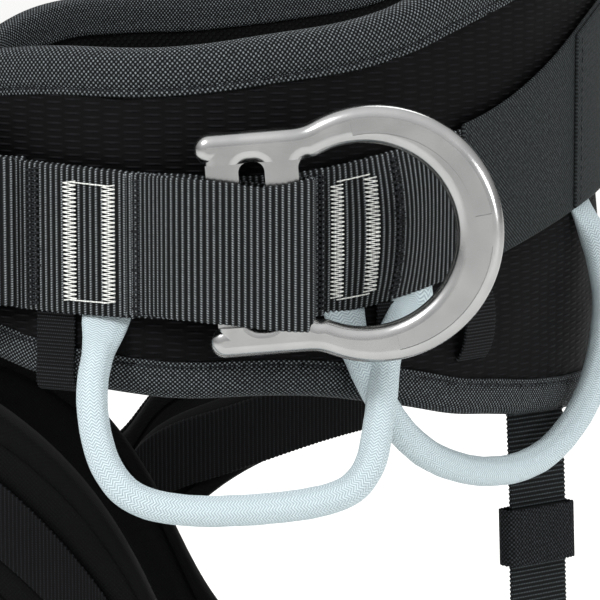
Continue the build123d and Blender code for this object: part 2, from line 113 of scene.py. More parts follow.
# %% Studio light
def studio_light(name, spot, size, power):
    """One round area light that faces the harness."""
    data = bpy.data.lights.new(name, "AREA")
    data.shape = "DISK"
    data.size = size
    data.energy = power
    lamp = bpy.data.objects.new(name, data)
    bpy.context.scene.collection.objects.link(lamp)
    lamp.location = spot
    lamp.rotation_euler = (aim - lamp.location).to_track_quat("-Z", "Y").to_euler()


studio_light("key_light", (0.9, -0.75, 1.15), 0.5, 17)
studio_light("side_light", (0.9, 1.15, 0.35), 0.45, 6)
studio_light("back_light", (-1.2, 0.3, 1.3), 0.8, 8)
world = bpy.data.worlds.new("studio")
world.use_nodes = True
bpy.context.scene.world = world
bpy.context.scene.view_settings.view_transform = "Standard"

# %% [markdown]
# ## Helpers for materials
# Every material starts from the Principled shader. `add` makes one node, gives it its settings
# and links its inputs, which keeps a long recipe readable. Colours are picked as sRGB hex
# values, the way a colour picker shows them, and the shader wants them linear.

# %% Material helpers
def colour(code):
    """Linear RGBA from an sRGB hex value such as 3A4044."""
    parts = [int(code[i:i + 2], 16) / 255 for i in (0, 2, 4)]
    linear = [part / 12.92 if part <= 0.04045 else ((part + 0.055) / 1.055) ** 2.4 for part in parts]
    return linear + [1]


def add(tree, kind, inputs=None, **settings):
    """Add one shader node, with its settings, and with its inputs set or linked."""
    node = tree.nodes.new("ShaderNode" + kind)
    for key, value in settings.items():
        setattr(node, key, value)
    for key, value in (inputs or {}).items():
        if isinstance(value, bpy.types.NodeSocket):
            tree.links.new(value, node.inputs[key])
        else:
            node.inputs[key].default_value = value
    return node


def start_material(name, **values):
    """A material with its node tree and its Principled shader, whose plain values are given by name."""
    material = bpy.data.materials.new(name)
    material.use_nodes = True
    shader = material.node_tree.nodes["Principled BSDF"]
    for key, value in values.items():
        shader.inputs[key.replace("_", " ")].default_value = value
    return material, material.node_tree, shader


def cloth_millimetres(tree):
    """Where a point is on its cloth: x along the piece and y across it, in millimetres."""
    spot = add(tree, "Attribute", attribute_name="cloth").outputs["Vector"]
    return add(tree, "VectorMath", {0: spot, "Scale": 1000.0}, operation="SCALE").outputs[0]


def wave(tree, spot, along, across):
    """A sine from -1 to 1 that repeats every so many millimetres along and across the cloth."""
    turns = [2 * pi / pitch if pitch else 0 for pitch in (along, across)]
    angle = add(tree, "VectorMath", {0: spot, 1: (turns[0], turns[1], 0)}, operation="DOT_PRODUCT")
    return add(tree, "Math", {0: angle.outputs["Value"]}, operation="SINE").outputs[0]


def finish_material(tree, shader, base, height, depth):
    """Link a colour, and a height from 0 to 1 that stands for depth millimetres of relief."""
    tree.links.new(base, shader.inputs["Base Color"])
    bump = add(tree, "Bump", {"Height": height, "Strength": 1.0, "Distance": depth * MM})
    tree.links.new(bump.outputs["Normal"], shader.inputs["Normal"])


# %% [markdown]
# The brightness of the surround depends on direction: it is brightest in the direction
# `BRIGHT_WAY`, above and a little in front, and falls off smoothly away from that.

# %% Surround
BRIGHT_WAY = (0.35, 0.0, 0.93)
tree = world.node_tree
around = add(tree, "TexCoord").outputs["Generated"]
facing = add(tree, "VectorMath", {0: around, 1: BRIGHT_WAY}, operation="DOT_PRODUCT")
surround = add(tree, "MapRange", {0: facing.outputs["Value"], 1: -0.3, 2: 1.0, 3: 0.12, 4: 1.45})
tree.links.new(surround.outputs[0], tree.nodes["Background"].inputs["Strength"])
tree.nodes["Background"].inputs["Color"].default_value = (1, 1, 1, 1)

# %% [markdown]
# ## Ribbed webbing
# The main straps are 45 mm polyester webbing. A thick filling thread makes a rib across the
# strap every 1.9 mm, and the warp threads pass over it in a fine twill, grey on charcoal.
# The ribs are in the mesh. The material adds what is too fine for a mesh, the twill itself, and it also
# paints light and shade onto the ribs: a painted highlight, where the grey twill shows only on the top of
# each rib, and painted shade in the hollow between ribs.

# %% Ribbed webbing material
RIB_PITCH = 1.93
TWILL_PITCH = 0.75


def ribbed_webbing(name, dark, light, rib_pitch):
    """Webbing whose grey twill shows only as a narrow pale line on top of each rib, a painted highlight,
    with painted shade between the ribs.
    """
    material, tree, shader = start_material(name, Roughness=0.68, Specular_IOR_Level=0.1)
    spot = cloth_millimetres(tree)
    rib = add(tree, "TexWave", {"Vector": spot, "Scale": pi / (10 * rib_pitch)}, bands_direction="X")
    # painted highlight: the pale twill shows only near the top of each rib, and the hollows between ribs
    # stay dark as painted shade
    crest_highlight = add(tree, "Math", {0: rib.outputs["Fac"], 1: 4.0}, operation="POWER").outputs[0]
    twill = wave(tree, spot, 2.6, TWILL_PITCH)
    dots = add(tree, "MapRange", {0: twill, 1: -0.7, 2: 0.6, 3: 0.15, 4: 1.0}).outputs[0]
    grain = add(tree, "TexNoise", {"Vector": spot, "Scale": 0.9, "Detail": 3.0}).outputs["Fac"]
    worn = add(tree, "MapRange", {0: grain, 1: 0.3, 2: 0.7, 3: 0.7, 4: 1.15}).outputs[0]
    # the real twill thread, shown only where the painted highlight on each rib is
    thread = add(tree, "Math", {0: crest_highlight, 1: dots}, operation="MULTIPLY").outputs[0]
    pale = add(tree, "Math", {0: thread, 1: worn}, operation="MULTIPLY", use_clamp=True).outputs[0]
    base = add(tree, "Mix", {0: pale, 6: colour(dark), 7: colour(light)}, data_type="RGBA").outputs[2]
    finish_material(tree, shader, base, thread, 0.25)
    return material


main_webbing = ribbed_webbing("polyester_webbing_ribbed_weave", "060708", "8C9194", RIB_PITCH)
riser_webbing = ribbed_webbing("nylon_webbing_ribbed_weave", "08090A", "4E5558", 1.5)
black_tape = ribbed_webbing("nylon_tape_ribbed_weave", "050506", "34373A", 1.1)
leg_webbing = ribbed_webbing("nylon_webbing_dark_weave", "040405", "1E2023", 1.7)

# %% [markdown]
# ## Woven fabrics
# The edge tape is a basket weave: small pale floats, each a thread that jumps over its
# neighbours, in staggered rows. The wide back band is the same idea, finer and flatter. The
# cover is a smooth black cloth whose ripples lie in short staggered rows, and the lining is a
# spacer mesh with holes. Two sines multiplied give staggered cells, which is all that a
# basket weave is at this distance. The numbers in each material are the length and width of a
# cell, the two levels between which it rises, its relief in millimetres, and the roughness.

# %% Woven fabric material
def staggered_weave(name, dark, light, along, across, low, high, depth, roughness=0.75):
    """Cells along by across millimetres in staggered rows; low and high set how hard they look."""
    material, tree, shader = start_material(name, Roughness=roughness, Specular_IOR_Level=0.08)
    spot = cloth_millimetres(tree)
    first = wave(tree, spot, along, 0)
    second = wave(tree, spot, 0, across)
    cells = add(tree, "Math", {0: first, 1: second}, operation="MULTIPLY").outputs[0]
    float_height = add(tree, "MapRange", {0: cells, 1: low, 2: high}).outputs[0]
    grain = add(tree, "TexNoise", {"Vector": spot, "Scale": 0.7, "Detail": 4.0}).outputs["Fac"]
    worn = add(tree, "MapRange", {0: grain, 1: 0.3, 2: 0.7, 3: 0.35, 4: 1.2}).outputs[0]
    pale = add(tree, "Math", {0: float_height, 1: worn}, operation="MULTIPLY", use_clamp=True).outputs[0]
    base = add(tree, "Mix", {0: pale, 6: colour(dark), 7: colour(light)}, data_type="RGBA").outputs[2]
    finish_material(tree, shader, base, float_height, depth)
    return material


# bold pale floats with dark between them
binding_tape = staggered_weave(
    "polyester_tape_basket_weave", "08090A", "757B7E",
    1.5, 1.7, 0.0, 0.8, 0.22,
)
# an even, slightly grainy grey
band_webbing = staggered_weave(
    "polyester_band_plain_weave", "0F1112", "434849",
    1.2, 1.3, -0.3, 0.9, 0.12,
)
# black, with long faint ripples that catch the light
cover_fabric = staggered_weave(
    "nylon_cover_rippled_weave", "030304", "121215",
    13.0, 2.2, 0.1, 0.9, 0.30,
)
# black, with small round hollows
lining_mesh = staggered_weave(
    "polyester_spacer_mesh_knitted", "020202", "0A0B0C",
    3.2, 2.8, -0.2, 0.6, 0.5, 0.85,
)
# flat matt black
leg_fabric = staggered_weave(
    "nylon_leg_fabric_plain_weave", "020202", "070809",
    1.4, 1.4, -0.3, 0.9, 0.10, 0.8,
)
# small soft bumps
knitted_elastic = staggered_weave(
    "elastic_knitted_tape", "060707", "33363A",
    1.3, 1.5, -0.2, 0.8, 0.18,
)
# ivory with a slight gloss
white_thread = staggered_weave(
    "polyester_thread_bonded_white", "B9BAB6", "E4E5E1",
    0.9, 0.9, -0.5, 0.5, 0.02, 0.55,
)
# shows only by its gloss
black_thread = staggered_weave(
    "polyester_thread_bonded_black", "08090A", "2E3134",
    0.9, 0.9, -0.5, 0.5, 0.02, 0.55,
)

# %% [markdown]
# ## Braided sheath
# Each gear loop is a stiff cord in a pale braided sleeve. The yarns cross in a herringbone:
# they slant one way in one narrow strip and the other way in the next. Folding the distance
# round the cord with a ping-pong node, before it is added to the distance along it, turns
# straight stripes into that zigzag.

# %% Braided sheath material
BRAID_STRIP = 2.5
BRAID_PITCH = 1.0
braided_sheath, tree, shader = start_material(
    "polyester_sheath_braided", Roughness=0.5, Specular_IOR_Level=0.3
)
spot = cloth_millimetres(tree)
parts = add(tree, "SeparateXYZ", {0: spot})
zigzag = add(tree, "Math", {0: parts.outputs["Y"], 1: BRAID_STRIP / 2}, operation="PINGPONG").outputs[0]
lean = {0: zigzag, 1: 0.9, 2: parts.outputs["X"]}
slanted = add(tree, "Math", lean, operation="MULTIPLY_ADD").outputs[0]
turned = add(tree, "Math", {0: slanted, 1: 2 * pi / BRAID_PITCH}, operation="MULTIPLY").outputs[0]
yarn = add(tree, "Math", {0: turned}, operation="SINE").outputs[0]
yarn_height = add(tree, "MapRange", {0: yarn, 1: -0.9, 2: 0.5}).outputs[0]
grain = add(tree, "TexNoise", {"Vector": spot, "Scale": 0.8, "Detail": 3.0}).outputs["Fac"]
shade = add(tree, "MapRange", {0: grain, 1: 0.25, 2: 0.75, 3: 0.7, 4: 1.05}).outputs[0]
pale = add(tree, "Math", {0: yarn_height, 1: shade}, operation="MULTIPLY", use_clamp=True).outputs[0]
base = add(tree, "Mix", {0: pale, 6: colour("93A1A7"), 7: colour("C0CDD1")}, data_type="RGBA").outputs[2]
finish_material(tree, shader, base, yarn_height, 0.16)

# %% [markdown]
# ## Metals
# The rings are forged aluminium, tumbled to a satin finish: a soft, slightly cloudy
# reflection with fine scratches. The buckles are pressed steel under a gloss black coat. The
# rings and buckles keep their CAD meshes, so their patterns use the object's own coordinates.

# %% Metal materials
forged_aluminium, tree, shader = start_material("aluminium_forged_and_tumbled", Metallic=1.0)
spot = add(tree, "TexCoord").outputs["Object"]
clouds = add(tree, "TexNoise", {"Vector": spot, "Scale": 90.0, "Detail": 5.0}).outputs["Fac"]
scratches = add(tree, "TexNoise", {"Vector": spot, "Scale": 900.0, "Detail": 2.0}).outputs["Fac"]
base = add(tree, "Mix", {0: clouds, 6: colour("909191"), 7: colour("AEAEAD")}, data_type="RGBA").outputs[2]
dull = add(tree, "MapRange", {0: clouds, 1: 0.3, 2: 0.7, 3: 0.17, 4: 0.27}).outputs[0]
tree.links.new(dull, shader.inputs["Roughness"])
finish_material(tree, shader, base, scratches, 0.012)

black_steel, tree, shader = start_material(
    "steel_pressed_and_coated_black", Metallic=0.0, Coat_Weight=0.6
)
spot = add(tree, "TexCoord").outputs["Object"]
clouds = add(tree, "TexNoise", {"Vector": spot, "Scale": 140.0, "Detail": 4.0}).outputs["Fac"]
base = add(tree, "Mix", {0: clouds, 6: colour("0A0A0B"), 7: colour("1A1B1D")}, data_type="RGBA").outputs[2]
dull = add(tree, "MapRange", {0: clouds, 1: 0.3, 2: 0.7, 3: 0.22, 4: 0.38}).outputs[0]
tree.links.new(dull, shader.inputs["Roughness"])
finish_material(tree, shader, base, clouds, 0.02)

for node in ("side_ring_left", "side_ring_right", "ventral_ring"):
    frame["nodes"][node].data.materials.clear()
    frame["nodes"][node].data.materials.append(forged_aluminium)
for node in ("buckle_frame", "buckle_bar"):
    for side, sign in SIDES:
        frame["nodes"][f"{node}_{side}"].data.materials.clear()
        frame["nodes"][f"{node}_{side}"].data.materials.append(black_steel)

# %% [markdown]
# ## The ovals
# Seen from above, the belt and both leg loops are ovals of four arcs. A distance s measured
# round an oval, from its rearmost point towards +X, and a height z place any point of a sewn
# piece, and an offset along the outward normal says which layer it is in.

# %% Ovals
class Oval:
    """Four arcs that meet smoothly, seen from above."""

    def __init__(self, low, high, side_radius):
        self.centre = (np.array(low) + np.array(high))[:2] / 2
        half_x, half_y = (high.x - low.x) / 2, (high.y - low.y) / 2
        self.side_r = side_radius
        self.side_c = half_x - side_radius
        self.end_r = (self.side_c**2 + half_y**2 - side_radius**2) / (2 * (half_y - side_radius))
        self.end_c = half_y - self.end_r
        self.turn = atan2(abs(self.side_c), abs(self.end_c))
        self.first = self.end_r * self.turn
        self.second = self.first + self.side_r * (pi - 2 * self.turn)
        self.length = 2 * (self.second + self.end_r * self.turn)

    def at(self, s, off=0.0):
        """Points (x, y, 0) and outward normals at distances s, moved out by off."""
        far = np.abs(s)
        on_side = (far >= self.first) & (far < self.second)
        back = far < self.first
        angle = np.where(back, far / self.end_r, np.pi - self.turn + (far - self.second) / self.end_r)
        angle = np.where(on_side, self.turn + (far - self.first) / self.side_r, angle)
        flip = np.where(s < 0, -1.0, 1.0)
        normal = np.stack([np.sin(angle) * flip, np.cos(angle), 0 * angle], -1)
        radius = np.where(on_side, self.side_r, self.end_r) + off
        middle = np.stack([
            np.where(on_side, self.side_c, 0.0) * flip + self.centre[0],
            np.where(on_side, 0.0, np.where(back, self.end_c, -self.end_c)) + self.centre[1],
            0 * angle,
        ], -1)
        return middle + normal * radius[..., None], normal

    def along(self, y):
        """The distance s at which the oval passes y, on its +X side."""
        y = y - self.centre[1]
        join = self.side_r * cos(self.turn)
        if y > join:
            return self.end_r * acos(min(1.0, (y - self.end_c) / self.end_r))
        if y > -join:
            return self.first + self.side_r * (acos(y / self.side_r) - self.turn)
        return self.second + self.end_r * (acos((y + self.end_c) / self.end_r) - pi + self.turn)


waist = Oval(Vector((belt_low.x, -belt_high.y, 0)), belt_high, 105 * MM)
print("belt, all the way round:", round(waist.length, 3), "m")


def side_edges(node):
    """The lower and upper edge of a CAD node seen from the side, each as a function z(y)."""
    mesh = frame["nodes"][node].data
    points = np.array([vertex.co for vertex in mesh.vertices])
    pairs = points[np.array([edge.vertices for edge in mesh.edges])]
    first, last = pairs[:, 0], pairs[:, 1]
    stations = np.linspace(points[:, 1].min() + 0.2 * MM, points[:, 1].max() - 0.2 * MM, 90)
    heights = []
    for y in stations:
        crossing = (first[:, 1] - y) * (last[:, 1] - y) < 0
        a, b = first[crossing], last[crossing]
        z = a[:, 2] + (b[:, 2] - a[:, 2]) * (y - a[:, 1]) / (b[:, 1] - a[:, 1])
        heights.append((z.min(), z.max()))
    heights = np.array(heights)
    return [lambda y, column=column: np.interp(y, stations, heights[:, column]) for column in (0, 1)]


# %% [markdown]
# ## Helpers for sewn meshes
# Every soft piece is a grid of points: one row of points round its section, repeated along
# its length. `grid_mesh` joins them and stores, at every corner of every face, where that
# corner is on the flat cloth. The weaves read that, so they follow a strap round its folds.

# %% Grid meshes
def grid_mesh(name, points, cloth, material, around=True, joined=False):
    """A mesh from points[along, round]; joined closes it along, and otherwise its ends are capped."""
    n, m = points.shape[:2]
    rows, columns = np.arange(n if joined else n - 1), np.arange(m if around else m - 1)
    i, j = np.meshgrid(rows, columns, indexing="ij")
    corners = ((i, j), (i + 1, j), (i + 1, j + 1), (i, j + 1))
    faces = np.stack([(a % n) * m + b % m for a, b in corners], -1).reshape(-1, 4).tolist()
    places = np.stack([cloth[a, b] for a, b in corners], -2).reshape(-1, 2)
    if around and not joined:
        faces += [list(range(m)), list(range((n - 1) * m, n * m))]
        places = np.concatenate([places, cloth[0, :m], cloth[-1, :m]])
    mesh = bpy.data.meshes.new(name)
    mesh.from_pydata(points.reshape(-1, 3).tolist(), [], faces)
    values = np.concatenate([places, np.zeros((len(places), 1))], 1).astype(np.float32)
    mesh.attributes.new("cloth", "FLOAT_VECTOR", "CORNER").data.foreach_set("vector", values.ravel())
    work = bmesh.new()
    work.from_mesh(mesh)
    bmesh.ops.recalc_face_normals(work, faces=work.faces)
    work.to_mesh(mesh)
    work.free()
    mesh.shade_smooth()
    mesh.materials.append(material)
    piece = bpy.data.objects.new(name, mesh)
    bpy.context.scene.collection.objects.link(piece)
    return piece


def distances(points):
    """How far each point is along its line."""
    steps = np.linalg.norm(np.diff(points, axis=0), axis=1)
    return np.concatenate([[0], np.cumsum(steps)])


def smooth_line(points, step, order=3):
    """Evenly spaced points on the NURBS curve whose control points are given."""
    curve = bpy.data.curves.new("route", "CURVE")
    curve.dimensions = "3D"
    curve.resolution_u = 24
    spline = curve.splines.new("NURBS")
    spline.points.add(len(points) - 1)
    for target, point in zip(spline.points, points):
        target.co = (*point, 1)
    spline.order_u = order
    spline.use_endpoint_u = True
    holder = bpy.data.objects.new("route", curve)
    mesh = bpy.data.meshes.new_from_object(holder)
    line = np.array([vertex.co for vertex in mesh.vertices])
    bpy.data.meshes.remove(mesh)
    bpy.data.objects.remove(holder)
    bpy.data.curves.remove(curve)
    far = distances(line)
    even = np.linspace(0, far[-1], max(3, int(far[-1] / step)))
    return np.stack([np.interp(even, far, line[:, axis]) for axis in range(3)], -1)


def ruffle(u, v, size, seed=0.0):
    """Smooth noise from about -0.5 to 0.5 over a cloth, with lumps of the given size."""
    flat = zip(np.ravel(u) / size, np.ravel(v) / size)
    return np.array([noise.noise((a, b, seed)) for a, b in flat]).reshape(np.shape(u))


def place(piece, body, slot, *nodes):
    """Let a piece ride on its body and stand for its CAD nodes; slot is not used."""
    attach(piece, body)
    if nodes:
        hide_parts(*nodes)
    print(piece.name, len(piece.data.polygons), "faces")
    return piece


# %% [markdown]
# ## Straps
# A strap is a flat section with rounded edges, swept along its route. Ribbed webbing swells
# and thins again once a rib, and its edges swell with it, which is what gives real webbing
# its finely toothed outline. Six columns of points to a rib are enough to see that.

# %% Strap mesh
SECTION_ACROSS = np.concatenate([[-1, -0.975], np.linspace(-0.93, 0.93, 11), [0.975, 1]])
SECTION_FACE = np.concatenate([[0.35, 0.9], np.ones(11), [0.9, 0.35]])
STRAP_THICK = 2.0 * MM
RIB_DEPTH = 0.38
RIB_TOOTH = 0.25 * MM


def strap(name, middle, across, half_width, material, rib=RIB_PITCH, thick=STRAP_THICK, joined=False):
    """A woven strap along its middle line, as wide as twice half_width in the direction across."""
    line = np.concatenate([middle, middle[:1]]) if joined else middle
    far = distances(line)
    ahead = np.roll(middle, -1, 0) - np.roll(middle, 1, 0) if joined else np.gradient(middle, axis=0)
    across = np.broadcast_to(across, middle.shape)
    face = np.cross(ahead, across)
    face /= np.linalg.norm(face, axis=1)[:, None]
    swell = np.ones(len(middle))
    if rib:
        swell = 0.5 - 0.5 * np.cos(2 * np.pi * far[:len(middle)] / (rib * MM))
    half_thick = thick / 2 * (1 - RIB_DEPTH * (1 - swell))
    half_width = np.broadcast_to(half_width, len(middle))
    a = np.concatenate([SECTION_ACROSS, SECTION_ACROSS[::-1]])
    b = np.concatenate([SECTION_FACE, -SECTION_FACE[::-1]])
    reach = (half_width + RIB_TOOTH * swell)[:, None] * a
    points = middle[:, None] + across[:, None] * reach[..., None]
    points = points + face[:, None] * (half_thick[:, None] * b)[..., None]
    a_round = np.append(a, a[0])
    width_round = np.append(half_width, half_width[0]) if joined else half_width
    cloth = np.stack(np.broadcast_arrays(far[:, None], width_round[:, None] * a_round), -1)
    return grid_mesh(name, points, cloth, material, joined=joined)


RIB_STEP = RIB_PITCH * MM / 6


def belt_line(first, last, off, low, high, step=RIB_STEP):
    """The middle line and half width of a strap that follows the belt from s = first to last."""
    s = np.linspace(first, last, int(abs(last - first) / step))
    points, normals = waist.at(s, off)
    y = waist.at(s)[0][:, 1]
    points[:, 2] = (low(y) + high(y)) / 2
    return points, (high(y) - low(y)) / 2, normals


# %% [markdown]
# ## Gear loops
# A gear loop is a stiff cord whose two ends are flattened and sewn in under the waist
# webbing. Its route is one smooth NURBS curve through the places the CAD gives, and a round
# section follows it. Near the ends the section changes to a flat one, and along one flank runs
# the shallow crease of a sleeve that has been pulled over a core.

# %% Gear loop routes
CORD_RADIUS = 4.9 * MM
FLAT_WIDE = 7.8 * MM
FLAT_THIN = 1.2 * MM
# millimetres along the chord and down from it
FRONT_LOOP = [(-4, 20), (1, 48), (20, 57.5), (64, 57.8), (82, 52), (88.5, 30), (92, 8)]
REAR_LOOP = [(1, 16), (15, 46), (44, 65), (78, 72), (109, 60), (128, 34), (128, 10)]


def loop_plane(start, end, tilt):
    """Origin and two directions of a gear loop's plane: along its chord, and down and outward."""
    ends = []
    for y, z, off in (start, end):
        point = waist.at(np.array(waist.along(y * MM)), off * MM)[0]
        ends.append(point + UP * z * MM)
    chord = (ends[1] - ends[0]) / np.linalg.norm(ends[1] - ends[0])
    outward = np.array((chord[1], -chord[0], 0)) / np.hypot(chord[0], chord[1])
    fall = -UP + outward * tilt
    normal = np.cross(chord, fall)
    down = np.cross(normal / np.linalg.norm(normal), chord)
    return ends, chord, down


def cord_tube(name, path, flat_normal, wide, thin, material, crease=0.35 * MM, sides=28):
    """A cord: an oval section, wide in the cord's plane and thin across it, along the path."""
    ahead = np.gradient(path, axis=0)
    ahead /= np.linalg.norm(ahead, axis=1)[:, None]
    outward = np.broadcast_to(flat_normal, path.shape)
    outward = outward - ahead * (outward * ahead).sum(1)[:, None]
    outward /= np.linalg.norm(outward, axis=1)[:, None]
    flank = np.cross(ahead, outward)
    angle = np.linspace(0, 2 * np.pi, sides, endpoint=False) + np.pi
    dent = 1 - crease / CORD_RADIUS * np.exp(-((np.mod(angle, 2 * np.pi) - 0.9) / 0.16) ** 2)
    far = distances(path)
    uneven = 1 + 0.035 * ruffle(far[:, None] + 0 * angle, 3 * MM * angle + 0 * far[:, None], 6 * MM)
    section = flank[:, None] * (wide[:, None] * np.sin(angle) * dent * uneven)[..., None]
    section = section + outward[:, None] * (thin[:, None] * -np.cos(angle) * dent * uneven)[..., None]
    girth = np.linspace(0, 30, sides + 1) * MM
    cloth = np.stack(np.broadcast_arrays(far[:, None], girth), -1)
    return grid_mesh(name, path[:, None] + section, cloth, material)


def gear_loop(side, sign, row, start, end, tilt, route):
    """One loop from its first sewn end to its last, with both ends tucked under the webbing."""
    ends, chord, down = loop_plane(start, end, tilt)
    tucked, inward = [], []
    for y, z, _ in (start, end):
        s = np.array(waist.along(y * MM))
        inward.append(-waist.at(s)[1])
        # three points, in millimetres above the loop's end and out from the padding
        for rise, layer in ((20, -1.0), (9, -0.8), (3.5, 0.4)):
            tucked.append(waist.at(s, layer * MM)[0] + UP * (z + rise) * MM)
    points = tucked[:3] + [ends[0] + chord * a * MM + down * b * MM for a, b in route] + tucked[:2:-1]
    path = smooth_line(points, 1.0 * MM)
    far = distances(path)
    from_end = np.minimum(far, far[-1] - far)
    # a flat ribbon where it is sewn in, which opens into a round cord
    open_up = np.clip((from_end - 14 * MM) / (18 * MM), 0, 1)
    open_up = open_up * open_up * (3 - 2 * open_up)
    wide = FLAT_WIDE + (CORD_RADIUS - FLAT_WIDE) * open_up
    thin = FLAT_THIN + (CORD_RADIUS - FLAT_THIN) * open_up
    mirror = np.array((sign, 1, 1))
    # the flat lies on the belt at both ends, and in the plane of the loop further down
    turn = np.clip(from_end / (45 * MM), 0, 1)[:, None]
    half = len(path) // 2
    sewn = np.concatenate([np.tile(inward[0], (half, 1)), np.tile(inward[1], (len(path) - half, 1))])
    normal = (np.cross(chord, down) * turn + sewn * (1 - turn)) * mirror
    name = f"gear_loop_{row}_{side}"
    cord = cord_tube(f"{name}_cord", path * mirror, normal, wide, thin, braided_sheath)
    print(cord.name, "is", round(far[-1], 3), "m long")
    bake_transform(cord)
    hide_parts(name)


for side, sign in SIDES:
    gear_loop(side, sign, "front", (-30, 20.5, 12), (66.5, 23.5, 12), 0.35, FRONT_LOOP)
    gear_loop(side, sign, "rear", (44, 22, 7), (124.5, 47, 7), 0.10, REAR_LOOP)

# %% [markdown]
# ## The padded belt
# The belt is closed-cell foam between a smooth cover and a mesh lining. Tight straps press it
# flat, and between the straps and the taped edges it swells into soft rolls, with small
# puckers where the sewing pulls. A closed grid is shaped by those three effects in turn. A
# cloth simulation would give the same rolls, but would also soften the edges that the tape
# has to meet.

# %% Belt padding
PAD_THICK = 9.0 * MM
belt_top = side_edges("belt_top_binding")[1]
belt_bottom = side_edges("belt_lower_binding")[0]
webbing_low, webbing_high = side_edges("waist_webbing")
BELT_END = waist.along(belt_low.y + 1.5 * MM)
TOP_HEM = 15 * MM
LOWER_HEM = 12 * MM


def swell_between(z, low, high):
    """A soft roll: 0 at low and high, 1 halfway between them, and 0 outside."""
    part = np.clip((z - low) / np.maximum(high - low, 1e-6), 0, 1)
    return np.sqrt(np.clip(4 * part * (1 - part), 0, 1))


s = np.linspace(-BELT_END, BELT_END, 420)[:, None]
y = waist.at(s[:, 0])[0][:, 1][:, None]
low, high = belt_bottom(y) + 3 * MM, belt_top(y) - 3 * MM
share = np.linspace(0, 1, 56)
z = low + (high - low) * share
strap_low, strap_high = webbing_low(y) - 1 * MM, webbing_high(y) + 1 * MM
upper_roll = swell_between(z, strap_high, belt_top(y) - TOP_HEM + 2 * MM)
lower_roll = swell_between(z, belt_bottom(y) + LOWER_HEM - 2 * MM, strap_low)
from_seam = np.minimum(np.abs(z - belt_top(y) + TOP_HEM), np.abs(z - belt_bottom(y) - LOWER_HEM))
pucker = np.exp(-from_seam / (5 * MM)) * ruffle(s + 0 * z, z, 7 * MM)
drape = ruffle(s + 0 * z, z * 1.6, 26 * MM, 3.0)
rolls = upper_roll + lower_roll
outer = (-0.5 + 1.5 * upper_roll + 1.0 * lower_roll + 0.9 * pucker + 1.1 * drape * rolls) * MM
inner_share = share[::-1]
inner_z = low + (high - low) * inner_share
channel = np.abs(np.sin(np.pi * 4 * inner_share)) ** 0.5
lining_pull = ruffle(s + 0 * inner_z, inner_z, 12 * MM, 9.0)
past_hem = np.minimum(belt_top(y) - TOP_HEM - inner_z, inner_z - belt_bottom(y) - LOWER_HEM)
free = np.clip((past_hem + 2 * MM) / (9 * MM), 0, 1)
inner = -PAD_THICK + (0.9 - free * (0.3 + 2.2 * channel - 0.8 * lining_pull)) * MM
outer_points = waist.at(s + 0 * z, outer)[0] + UP * z[..., None]
inner_points = waist.at(s + 0 * inner_z, inner)[0] + UP * inner_z[..., None]
points = np.concatenate([outer_points, inner_points], 1)
girth = np.concatenate([z, inner_z, z[:, :1]], 1)
cloth = np.stack(np.broadcast_arrays(s, girth), -1)
padding = grid_mesh("belt_padding", points, cloth, cover_fabric)
padding.data.materials.append(lining_mesh)
faces_round = points.shape[1]
grid_faces = len(padding.data.polygons) - 2
on_lining = [0 if i % faces_round < len(share) else 1 for i in range(grid_faces)] + [0, 0]
padding.data.polygons.foreach_set("material_index", on_lining)
place(padding, "belt", "outer_fabric", "belt_outer_fabric", "belt_pad_core", "belt_inner_mesh")

# %% [markdown]
# ## Taped edges
# A folded tape closes the edge of a padded piece all the way round. Its section is a U with a
# fat rounded nose, and its two hems are drawn in along the stitching. The tape is longer on
# the nose than at the hems, so it puckers there. One route in the flat pattern, with rounded
# corners, carries the section, and the oval then bends the whole thing.

